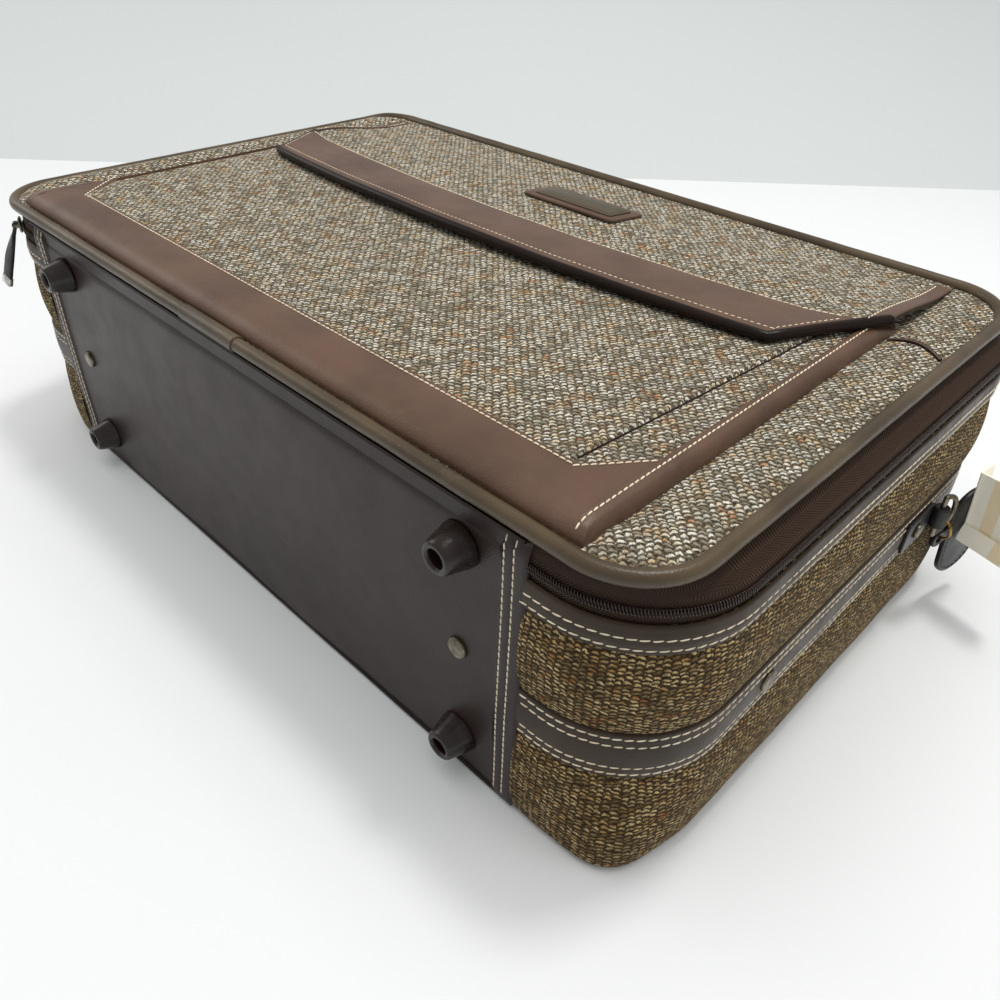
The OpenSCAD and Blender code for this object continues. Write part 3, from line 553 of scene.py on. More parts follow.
class Graph:
    """Small helper that wires one material."""

    def __init__(self, name: str) -> None:
        """Starts a material with its shader.

        Args:
            name: Name of the material.
        """
        self.made = bpy.data.materials.new(name)
        self.made.use_nodes = True
        self.tree = self.made.node_tree
        self.tree.nodes.clear()
        self.shader = self.tree.nodes.new("ShaderNodeBsdfPrincipled")
        output = self.tree.nodes.new("ShaderNodeOutputMaterial")
        self.tree.links.new(self.shader.outputs[0], output.inputs[0])

    def feed(self, node: bpy.types.Node, values: Feed) -> None:
        """Links or sets the inputs of a node, by name or by number.

        Args:
            node: The node.
            values: What each input gets: an output of another node, or a value.
        """
        for key, value in values.items():
            if isinstance(value, Wire):
                self.tree.links.new(value, node.inputs[key])
            else:
                node.inputs[key].default_value = value

    def add(self, kind: str, values: Feed, **settings: str) -> bpy.types.NodeOutputs:
        """Adds a node with its settings, feeds it and gives its outputs.

        Args:
            kind: Blender's name for the node, without its prefix.
            values: What its inputs get.
            settings: Its other settings.

        Returns:
            The node's outputs.
        """
        node = self.tree.nodes.new("ShaderNode" + kind)
        for key, value in settings.items():
            setattr(node, key, value)
        self.feed(node, values)
        return node.outputs

    def set(self, **values: Socket) -> None:
        """Feeds the shader's sockets, with _ for the spaces in their names."""
        self.feed(self.shader, {key.replace("_", " "): value for key, value in values.items()})

    def math(self, kind: str, a: Socket, b: Socket = 0.0, c: Socket = 0.0) -> Wire:
        """One sum of up to three values."""
        return self.add("Math", dict(enumerate((a, b, c))), operation=kind)[0]

    def times_plus(self, a: Socket, b: Socket, c: Socket) -> Wire:
        """The product of two values plus a third one."""
        return self.math("MULTIPLY_ADD", a, b, c)

    def centred(self, value: Socket) -> Wire:
        """A value between 0 and 1, moved so that its middle is zero."""
        return self.math("SUBTRACT", value, 0.5)

    def fit(self, value: Socket, start: float, end: float, low: float = 0.0, high: float = 1.0) -> Wire:
        """Carries start to end smoothly over to low to high."""
        values = dict(enumerate((value, start, end, low, high)))
        return self.add("MapRange", values, interpolation_type="SMOOTHSTEP")[0]

    def mix(self, share: Socket, a: Socket, b: Socket) -> Wire:
        """Blends two colours."""
        return self.add("Mix", {0: share, 6: a, 7: b}, data_type="RGBA")[2]

    def noise(self, where: Socket, size: float, detail: float = 2.0, rough: float = 0.5) -> Wire:
        """Cloudy value with features of a size in millimetres."""
        values = {"Vector": where, "Scale": 1 / (size * MM), "Detail": detail, "Roughness": rough}
        return self.add("TexNoise", values)[0]

    def cells(self, where: Socket, size: float) -> Wire:
        """Distance inside grain cells of a size in millimetres."""
        return self.add("TexVoronoi", {"Vector": where, "Scale": 1 / (size * MM)}, feature="F1")["Distance"]

    def solid(self) -> Wire:
        """Place in the suitcase's own frame."""
        return self.add("TexCoord", {})["Object"]

    def surface(self) -> Wire:
        """Place along and across the piece's own surface."""
        return self.add("UVMap", {}, uv_map="surface")[0]

    def stretch(self, where: Socket, scale: Point) -> Wire:
        """A place stretched along its directions."""
        return self.add("Mapping", {"Vector": where, "Scale": scale})[0]

    def split(self, where: Socket) -> tuple[Wire, ...]:
        """The three parts of a place or a colour."""
        return tuple(self.add("SeparateXYZ", {0: where}))

    def bump(self, height: Socket, depth: float, strength: float = 1.0) -> None:
        """Raises the surface by a height, up to a depth in millimetres."""
        made = self.add("Bump", {"Strength": strength, "Distance": depth * MM, "Height": height})
        self.set(Normal=made[0])


def srgb(r: float, g: float, b: float) -> Colour:
    """A colour on a 0 to 255 scale, as the shader wants it."""
    return (*(((v / 255 + 0.055) / 1.055) ** 2.4 if v > 10 else v / 255 / 12.92 for v in (r, g, b)), 1.0)


@dataclass(frozen=True)
class Finish:
    """What every finish has: a name and a way to wire it. Sizes are in millimetres."""

    name: str

    @lru_cache(maxsize=None)
    def material(self) -> bpy.types.Material:
        """The material, wired once.

        Returns:
            The same material on every call.
        """
        graph = Graph(self.name)
        self.wire(graph)
        return graph.made

    def wire(self, g: Graph) -> None:
        """Wires the shader."""
        raise NotImplementedError


@dataclass(frozen=True)
class TweedFinish(Finish):
    """Slubby tweed: short bowed yarns of mixed colours over a darker, hairy ground.

    Yarns stand in columns that are turned on the cloth. Pitch is their spacing and loop their half size,
    across and along. Sway and drift give the size and the reach of the columns' and the rows' slow bends.
    """

    light: Colour
    warm: Colour
    cool: Colour
    fleck: Colour
    under: Colour
    ground: Colour
    turn: float = 45.0
    pitch: Pair = (3.3, 2.5)
    loop: Pair = (1.8, 0.8)
    bend: float = 0.36
    relief: float = 1.2
    fray: float = 4.6
    sway: Pair = (7.0, 1.1)
    drift: Pair = (6.0, 1.5)
    jitter: float = 0.7
    tilt: float = 0.5
    fibre: float = 0.45
    hair: float = 1.3
    patch: float = 10.0
    other_patch: float = 13.0

    def wire(self, g: Graph) -> None:
        """Wires the yarns, their slow changes of colour and the fibres.

        Args:
            g: The material's graph.
        """
        where = g.surface()
        u, v, _ = g.split(where)
        (sway_size, sway_by), (drift_size, drift_by) = self.sway, self.drift
        sway = g.centred(g.noise(where, sway_size, 4.0, 0.6))
        drift = g.centred(g.noise(g.stretch(where, (1.0, -1.0, 1.0)), drift_size, 4.0, 0.6))
        c, s = (v / MM for v in cos_sin(self.turn))
        (wide, tall), (half_w, half_h) = self.pitch, self.loop
        a = g.times_plus(v, s / wide, g.math("MULTIPLY", sway, sway_by))
        a = g.times_plus(u, c / wide, a)
        b = g.times_plus(u, -s / tall, g.math("MULTIPLY", drift, drift_by))
        b = g.times_plus(v, c / tall, b)
        column = g.math("FLOOR", a)
        b = g.times_plus(g.math("FLOORED_MODULO", column, 2.0), 0.5, b)
        cell = g.add("CombineXYZ", {0: column, 1: g.math("FLOOR", b)})[0]
        yarn = g.add("TexWhiteNoise", {"Vector": cell}, noise_dimensions="2D")["Color"]
        pick, slip, lean = g.split(yarn)
        across = g.math("MULTIPLY", g.centred(g.math("FRACT", a)), wide)
        across = g.times_plus(g.centred(pick), self.jitter, across)
        along = g.math("MULTIPLY", g.centred(g.math("FRACT", b)), tall)
        along = g.times_plus(g.centred(slip), self.jitter, along)
        along = g.times_plus(across, g.math("MULTIPLY", g.centred(lean), self.tilt), along)
        square = g.math("MULTIPLY", across, across)
        along = g.math("SUBTRACT", g.times_plus(square, self.bend, along), self.bend * half_w ** 2 / 3)
        fibre = g.noise(where, self.fibre, 3.0, 0.7)
        hair = g.noise(where, self.hair, 4.0, 0.7)
        fray = g.times_plus(g.centred(hair), self.fray, g.math("MULTIPLY", square, half_w ** -2))
        edge = g.times_plus(g.math("MULTIPLY", along, along), half_h ** -2, fray)
        dome = g.math("SQRT", g.math("MAXIMUM", g.math("SUBTRACT", 1.0, edge), 0.0))
        other = g.noise(g.stretch(where, (-1.0, 1.0, 1.0)), self.other_patch, 3.0, 0.6)
        patch = g.times_plus(g.centred(slip), 0.2, g.noise(where, self.patch, 3.0, 0.6))
        tone = g.mix(g.fit(patch, 0.42, 0.64, 0.0, 0.85), self.light, self.warm)
        tone = g.mix(g.fit(other, 0.48, 0.66, 0.0, 0.8), tone, self.cool)
        tone = g.mix(g.fit(patch, 0.63, 0.72, 0.0, 0.8), tone, self.fleck)
        tone = g.mix(g.fit(lean, 0.4, 1.0, 0.0, 0.8), tone, self.under)
        tone = g.mix(g.fit(fibre, 0.45, 0.75, 0.0, 0.5), tone, self.under)
        ground = g.mix(g.fit(hair, 0.42, 0.7), self.ground, self.under)
        g.set(Base_Color=g.mix(g.fit(edge, 1.25, 0.1), ground, tone), Roughness=0.9, Specular_IOR_Level=0.15,
              Sheen_Weight=0.05)
        g.bump(g.times_plus(fibre, 0.35, g.times_plus(hair, 0.5, dome)), self.relief)


@dataclass(frozen=True)
class LeatherFinish(Finish):
    """Smooth leather with fine grain, soft clouding and rubbed patches."""

    base: Colour
    deep: Colour
    worn: Colour
    rough: float = 0.42
    grain: float = 0.9
    depth: float = 0.12
    coat: float = 0.1
    uneven: float = 1.0
    shine: float = 0.38

    def wire(self, g: Graph) -> None:
        """Wires clouding, rubbed patches and grain.

        Args:
            g: The material's graph.
        """
        where = g.solid()
        cloud = g.noise(where, 46.0, 3.0)
        rub = g.noise(where, 17.0, 5.0, 0.65)
        pores = g.cells(where, self.grain)
        wrinkle = g.noise(where, 5.0, 4.0, 0.6)
        colour = g.mix(g.fit(cloud, 0.35, 0.68), self.base, self.deep)
        colour = g.mix(g.fit(rub, 0.56, 0.8, 0.0, 0.4), colour, self.worn)
        colour = g.mix(g.fit(pores, 0.25, 0.6, 0.0, 0.16), colour, self.deep)
        rough = g.fit(rub, 0.3, 0.75, self.rough - 0.06 * self.uneven, self.rough + 0.14 * self.uneven)
        g.set(Base_Color=colour, Roughness=rough, Specular_IOR_Level=self.shine, Coat_Weight=self.coat,
              Coat_Roughness=0.35)
        g.bump(g.times_plus(wrinkle, 1.6 * self.uneven, g.math("MULTIPLY", pores, -1.0)), self.depth, 0.7)


@dataclass(frozen=True)
class MetalFinish(Finish):
    """Plated metal with hand-worn patches and fine scratches."""

    base: Colour
    dull: Colour
    rough: float = 0.28
    patch: float = 6.0
    wear: float = 0.25

    def wire(self, g: Graph) -> None:
        """Wires tarnish and scratches.

        Args:
            g: The material's graph.
        """
        where = g.solid()
        cloud = g.noise(where, self.patch, 4.0, 0.6)
        scratch = g.noise(g.stretch(where, (1.0, 14.0, 14.0)), 9.0)
        colour = g.mix(g.fit(cloud, 0.42, 0.72), self.base, self.dull)
        rough = g.fit(cloud, 0.3, 0.75, self.rough, self.rough + self.wear)
        g.set(Base_Color=colour, Metallic=1.0, Roughness=rough)
        g.bump(scratch, 0.03, 0.5)


@dataclass(frozen=True)
class PlasticFinish(Finish):
    """Moulded plastic, glossy with scuffs."""

    base: Colour
    scuff: Colour

    def wire(self, g: Graph) -> None:
        """Wires scuffs and a faint mould texture.

        Args:
            g: The material's graph.
        """
        where = g.solid()
        scuffs = g.noise(where, 4.0, 5.0, 0.7)
        colour = g.mix(g.fit(scuffs, 0.58, 0.8, 0.0, 0.5), self.base, self.scuff)
        g.set(Base_Color=colour, Roughness=g.fit(scuffs, 0.35, 0.75, 0.22, 0.36), Specular_IOR_Level=0.45)
        g.bump(g.noise(where, 0.8), 0.04, 0.4)


@dataclass(frozen=True)
class ThreadFinish(Finish):
    """Twisted sewing thread."""

    light: Colour
    dark: Colour

    def wire(self, g: Graph) -> None:
        """Wires twist and uneven dye.

        Args:
            g: The material's graph.
        """
        where = g.solid()
        dye = g.noise(where, 3.0, 3.0)
        g.set(Base_Color=g.mix(g.fit(dye, 0.35, 0.7), self.light, self.dark), Roughness=0.75,
              Specular_IOR_Level=0.25)
        g.bump(g.noise(where, 0.25), 0.12, 0.7)


@dataclass(frozen=True)
class TapeFinish(Finish):
    """Zip tape woven in a herringbone."""

    light: Colour
    dark: Colour
    rib: float = 1.5
    turn: float = 5.0

    def wire(self, g: Graph) -> None:
        """Wires ribs that turn back at every few millimetres across the tape.

        Args:
            g: The material's graph.
        """
        where = g.surface()
        u, v, _ = g.split(where)
        fold = g.math("PINGPONG", v, self.turn * MM)
        run = g.math("MULTIPLY", g.math("ADD", u, fold), 2 * pi / (self.rib * MM))
        rib = g.times_plus(g.math("SINE", run), 0.5, 0.5)
        lint = g.noise(where, 0.6, 3.0)
        share = g.math("MULTIPLY", rib, g.fit(lint, 0.2, 0.7, 0.6, 1.0))
        g.set(Base_Color=g.mix(share, self.dark, self.light), Roughness=0.82, Specular_IOR_Level=0.25)
        g.bump(g.times_plus(lint, 0.3, rib), 0.3, 0.8)


@dataclass(frozen=True)
class ClothFinish(Finish):
    """Fine lining cloth or coarse board, by the size of its threads or fibres."""

    light: Colour
    dark: Colour
    thread: float = 0.8

    def wire(self, g: Graph) -> None:
        """Wires the grain of threads and slow soiling.

        Args:
            g: The material's graph.
        """
        where = g.solid()
        weave = g.cells(where, self.thread)
        soil = g.noise(where, 60.0, 3.0)
        colour = g.mix(g.fit(soil, 0.3, 0.75, 0.0, 0.7), self.light, self.dark)
        g.set(Base_Color=g.mix(g.fit(weave, 0.2, 0.7, 0.0, 0.3), colour, self.dark), Roughness=0.85,
              Specular_IOR_Level=0.2)
        g.bump(weave, 0.2, 0.6)


@dataclass(frozen=True)
class CardFinish(Finish):
    """Thick cream card with a tan stripe along one side."""

    paper: Colour
    stripe: Colour
    aged: Colour
    stripe_at: float = 24.0
    stripe_half: Pair = (4.2, 3.6)

    def wire(self, g: Graph) -> None:
        """Wires the stripe, ageing and paper fibres.

        Args:
            g: The material's graph.
        """
        where = g.surface()
        u, _, _ = g.split(where)
        outer, inner = self.stripe_half
        age = g.noise(where, 22.0, 4.0)
        edge = g.math("ABSOLUTE", g.math("SUBTRACT", u, self.stripe_at * MM))
        colour = g.mix(g.fit(age, 0.4, 0.75, 0.0, 0.6), self.paper, self.aged)
        colour = g.mix(g.fit(edge, outer * MM, inner * MM, 0.0, 0.75), colour, self.stripe)
        g.set(Base_Color=colour, Roughness=0.6, Specular_IOR_Level=0.35)
        g.bump(g.noise(where, 0.7, 3.0), 0.05, 0.5)


@dataclass(frozen=True)
class StudioFinish(Finish):
    """Painted studio surface with the faintest unevenness."""

    paint: Colour
    shade: Colour

    def wire(self, g: Graph) -> None:
        """Wires a slow change of tone."""
        cloud = g.noise(g.solid(), 700.0)
        g.set(Base_Color=g.mix(cloud, self.paint, self.shade), Roughness=0.7, Specular_IOR_Level=0.2)


@dataclass(frozen=True)
class Finishes:
    """All finishes of the suitcase and the studio."""

    lid_tweed: Finish = TweedFinish(
        "lid tweed", srgb(255, 251, 236), srgb(234, 206, 158), srgb(188, 192, 178), srgb(206, 130, 80),
        srgb(124, 111, 88), srgb(44, 36, 25), loop=(1.85, 0.92))
    wall_tweed: Finish = TweedFinish(
        "wall tweed", srgb(240, 215, 158), srgb(190, 144, 76), srgb(152, 138, 96), srgb(182, 106, 52),
        srgb(92, 69, 32), srgb(29, 20, 8), turn=0.0, pitch=(3.3, 2.2), loop=(1.65, 0.66), bend=0.2,
        relief=0.9, fray=6.5)
    trim: Finish = LeatherFinish(
        "brown trim leather", srgb(91, 68, 54), srgb(75, 55, 43), srgb(108, 86, 71), coat=0.05, uneven=0.6,
        shine=0.35)
    band: Finish = LeatherFinish(
        "grey-brown band leather", srgb(58, 45, 31), srgb(44, 33, 23), srgb(80, 67, 51), rough=0.38,
        coat=0.04, shine=0.22)
    panel: Finish = LeatherFinish(
        "dark panel leather", srgb(42, 30, 26), srgb(36, 25, 22), srgb(50, 37, 33), rough=0.4, coat=0.03,
        uneven=0.35, shine=0.28)
    # Dark leather for the rolled edges and the lower welt; it also colours the cords that paint shade along
    # the pocket's pleat and the lid's margin seam.
    edge: Finish = LeatherFinish(
        "dark rolled edge", srgb(30, 18, 13), srgb(21, 13, 10), srgb(42, 29, 23), rough=0.3, depth=0.06,
        coat=0.0, uneven=0.4, shine=0.18)
    piping: Finish = LeatherFinish(
        "olive piping", srgb(78, 65, 46), srgb(59, 48, 33), srgb(100, 88, 68), rough=0.36, uneven=0.6)
    black: Finish = LeatherFinish(
        "black leather", srgb(24, 22, 22), srgb(14, 13, 13), srgb(48, 45, 44), rough=0.4, coat=0.15)
    # The zip tape's colours are partly the tape's own dark brown and partly painted shade where it sits under
    # the lid's edge.
    tape: Finish = TapeFinish("zip tape", srgb(74, 54, 40), srgb(18, 12, 9))
    chain: Finish = PlasticFinish("zip coil", srgb(46, 32, 25), srgb(66, 49, 40))
    thread: Finish = ThreadFinish("cream thread", srgb(232, 221, 198), srgb(206, 190, 162))
    nickel: Finish = MetalFinish("worn nickel", srgb(134, 127, 113), srgb(94, 87, 75))
    bright: Finish = MetalFinish("bright nickel", srgb(216, 214, 210), srgb(168, 164, 158), rough=0.16)
    brass: Finish = MetalFinish("old brass", srgb(196, 158, 92), srgb(120, 90, 46), rough=0.24)
    bronze: Finish = MetalFinish(
        "dark bronze", srgb(122, 112, 92), srgb(108, 98, 80), rough=0.38, patch=34.0, wear=0.1)
    foot: Finish = PlasticFinish("foot plastic", srgb(31, 21, 19), srgb(43, 33, 30))
    board: Finish = ClothFinish("fibre board", srgb(150, 122, 86), srgb(104, 82, 54), 1.6)
    lining: Finish = ClothFinish("tan lining", srgb(178, 152, 116), srgb(136, 110, 78), 0.7)
    card: Finish = CardFinish("cream card", srgb(253, 249, 234), srgb(243, 221, 178), srgb(246, 236, 210))
    floor: Finish = StudioFinish("studio floor", srgb(222, 225, 227), srgb(216, 219, 222))
    backdrop: Finish = StudioFinish("studio backdrop", srgb(195, 200, 201), srgb(190, 195, 197))


FINISH = Finishes()


def dress_solids(finish: Finish, *nodes: str) -> None:
    """Gives CAD solids that stay in view a finish.

    Args:
        finish: The finish.
        nodes: Names of the solids.
    """
    for node in nodes:
        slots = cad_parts[node].data.materials
        slots.clear()
        slots.append(finish.material())
        log.info("%s: solid dressed in %s", node, finish.name)


# Sub-assemblies


@dataclass
class CaseShell:
    """Tweed walls that bulge between the leather, the back, the lining and the boards."""

    wall_t: float = 3.0
    rim: float = 146.0
    edge_r: float = 5.0
    band: Pair = (58.0, 86.0)
    binding_low: float = 132.0
    inner_z: Pair = (90.0, 40.0)
    bulge: float = 2.6
    low_extra: Point = (3.4, 0.9, -0.2)
    high_extra: Point = (0.8, 0.4, 0.2)
    side_turn: Pair = (0.3, 0.7)
    swell: float = 0.75
    uneven: Pair = (0.5, 34.0)
    flat_rim: float = 3.0
    corner_slump: float = 8.5
    slump_turn: Pair = (50.0, 20.0)
    slump_z: Pair = (4.0, 50.0)
    back_rise: float = 1.4
    lining_in: float = 7.2
    lining_t: float = 0.8
    lining_ruck: Pair = (0.4, 45.0)
    lining_step: float = 14.0
    floor_z: float = 6.0

    def fullness(self, p: Station) -> Pair:
        """How far the tweed stands out below and above the side band.

        Args:
            p: Place on the wall.

        Returns:
            Both distances.
        """
        left_right_far = [ramp(turn, self.side_turn) for turn in (-p.nx, p.nx, p.ny)]
        low = sum((extra * share for extra, share in zip(self.low_extra, left_right_far)), self.bulge)
        high = sum((extra * share for extra, share in zip(self.high_extra, left_right_far)), self.bulge)
        return low, high

    def slump(self, p: Station, z: float) -> float:
        """How far the soft lower right corner has slumped outward near the floor."""
        off = degrees(atan2(-p.ny, p.nx)) - self.slump_turn[0]
        return self.corner_slump * bell(off, self.slump_turn[1]) * (1 - ramp(z, self.slump_z))

    def wall_face(self, p: Station, z: float) -> float:
        """Distance of the tweed's face from the case's outline.

        Args:
            p: Place on the wall.
            z: Height.

        Returns:
            The distance, above zero outside.
        """
        low, high = self.fullness(p)
        band_low, band_high = self.band
        d = self.slump(p, z) - tuck(z, self.edge_r)
        if z < band_low:
            d += low * sin(pi * z / band_low) ** self.swell
        elif band_high < z < self.binding_low:
            d += high * sin(pi * (z - band_high) / (self.binding_low - band_high)) ** self.swell
        if z < band_low - self.flat_rim or band_high + self.flat_rim < z < self.binding_low - self.flat_rim:
            d += wave(self.uneven, p.x, p.y, z)
        return d

    def build(self) -> None:
        """Builds the walls, the back and the lining, and dresses the boards."""
        band_low, band_high = self.band
        heights = [*EDGE_HEIGHTS, *spread(9, band_low - 1, 3)]
        heights += [band_low, (band_low + band_high) / 2, band_high]
        heights += [*spread(band_high + 1, self.binding_low, 3), (self.binding_low + self.rim) / 2, self.rim]
        inside = [(-self.wall_t, z) for z in (self.rim, *self.inner_z, self.edge_r)]
        inside.append((-self.edge_r, self.wall_t))
        walls = CASE_LINE.walk(SEAM_X, 2)
        wall = Mesher()
        wall.loft([[p.out(self.wall_face(p, z), z) for z in heights] + [p.out(d, z) for d, z in inside]
                   for p in walls], along=[p.s for p in walls])
        piece = wall.piece("wall_tweed", FINISH.wall_tweed, Body.CASE, Slot.TWEED, "case_wall")
        line = CASE_LINE.inset(self.edge_r)
        back = Mesher()
        back.sheet(line, lambda x, y: self.wall_t,
                   lambda x, y: self.back_rise * (1 - rolled(line.depth(x, y), self.edge_r)))
        back.piece("back_tweed", FINISH.wall_tweed, Body.CASE, Slot.TWEED, "back_panel")
        self.build_lining()
        dress_solids(FINISH.board, "back_board", "bottom_board")
        dress_solids(FINISH.nickel, "rim_hoop")

    def build_lining(self) -> None:
        """Builds the cloth lining: floor, walls and the turned rim."""
        top = self.rim - self.lining_t
        under = top - self.lining_t
        inner = self.lining_in + self.lining_t
        face = self.floor_z + self.lining_t
        section = [(-inner, self.floor_z)]
        section += [(-self.lining_in, z)
                    for z in spread(self.floor_z, top - 2 * self.lining_t, self.lining_step)]
        section += [(-self.lining_in, under), (-self.wall_t, under), (-self.wall_t, top)]
        section += [(-inner, z) for z in reversed(spread(self.floor_z + 1, top, self.lining_step))]
        loop = CASE_LINE.walk(None)
        lining = Mesher()
        lining.loft([[p.out(d, z) for d, z in section] for p in loop], loop=True, along=[p.s for p in loop])
        lining.sheet(CASE_LINE.inset(inner), lambda x, y: face + abs(wave(self.lining_ruck, x, y, 0)),
                     lambda x, y: self.floor_z)
        lining.piece("case_lining_cloth", FINISH.lining, Body.CASE, Slot.LINING, "case_lining")


@dataclass
class SideLeather:
    """Binding under the zip and band round the sides, with their stitching and rivets."""

    leather_t: float = 1.2
    binding: Pair = (132.0, 147.0)
    binding_rows: Row = (135.0, 140.6)
    binding_crown: float = 0.8
    band: Pair = (58.0, 86.0)
    band_rows: Row = (60.8, 65.2, 78.8, 83.2)
    band_crown: float = 0.5
    uneven: Pair = (0.25, 30.0)
    hidden: float = 0.1
    stitch: Pair = (4.8, 4.1)
    rivet: Point = (282.2, -83.0, 72.0)
    rivet_size: Pair = (5.5, 2.0)

    def build(self) -> None:
        """Builds both strips, their stitches and the side rivets."""
        walls = CASE_LINE.walk(SEAM_X, 2)
        thread = Mesher()
        for name, node, edges, rows, crown in (
                ("rim_binding_leather", "rim_binding", self.binding, self.binding_rows, self.binding_crown),
                ("side_band_leather", "side_band", self.band, self.band_rows, self.band_crown)):
            ring = leather_ring(self.leather_t, *edges, rows, crown)
            strip = Mesher()
            strip.loft([[p.out(d + wave(self.uneven, p.x, p.y, z) * (d > self.hidden), z)
                         for d, z in ring] for p in walls], along=[p.s for p in walls])
            strip.piece(name, FINISH.band, Body.CASE, Slot.BROWN_LEATHER, node)
            for z in rows:
                d = min(ring[1:-1], key=lambda q: abs(q[1] - z))[0]
                thread.stitches([(p.out(d, z), (p.nx, p.ny, 0.0)) for p in walls], *self.stitch)
        thread.piece("side_stitches", FINISH.thread, Body.CASE, Slot.BROWN_LEATHER)
        rivets = Mesher()
        x, y, z = self.rivet
        for side in (-1, 1):
            place = Placement((side * x, y, z), (0, 1, 0), (0, 0, side), (side, 0, 0))
            rivets.turned(place, rivet_profile(*self.rivet_size))
        rivets.piece("side_rivet_heads", FINISH.nickel, Body.CASE, Slot.NICKEL, "side_rivets")


def rivet_profile(r: float, h: float) -> list[Pair]:
    """Radius and height of each ring of a flat rivet head with an eased rim."""
    return [(r - 0.2, 0.0), (r, 0.3), (r, h - 0.7), (r - 0.25, h - 0.25), (r - 0.8, h), (r - 1.2, h - 0.12),
            (r / 2, h + 0.05), (0.25, h + 0.1)]


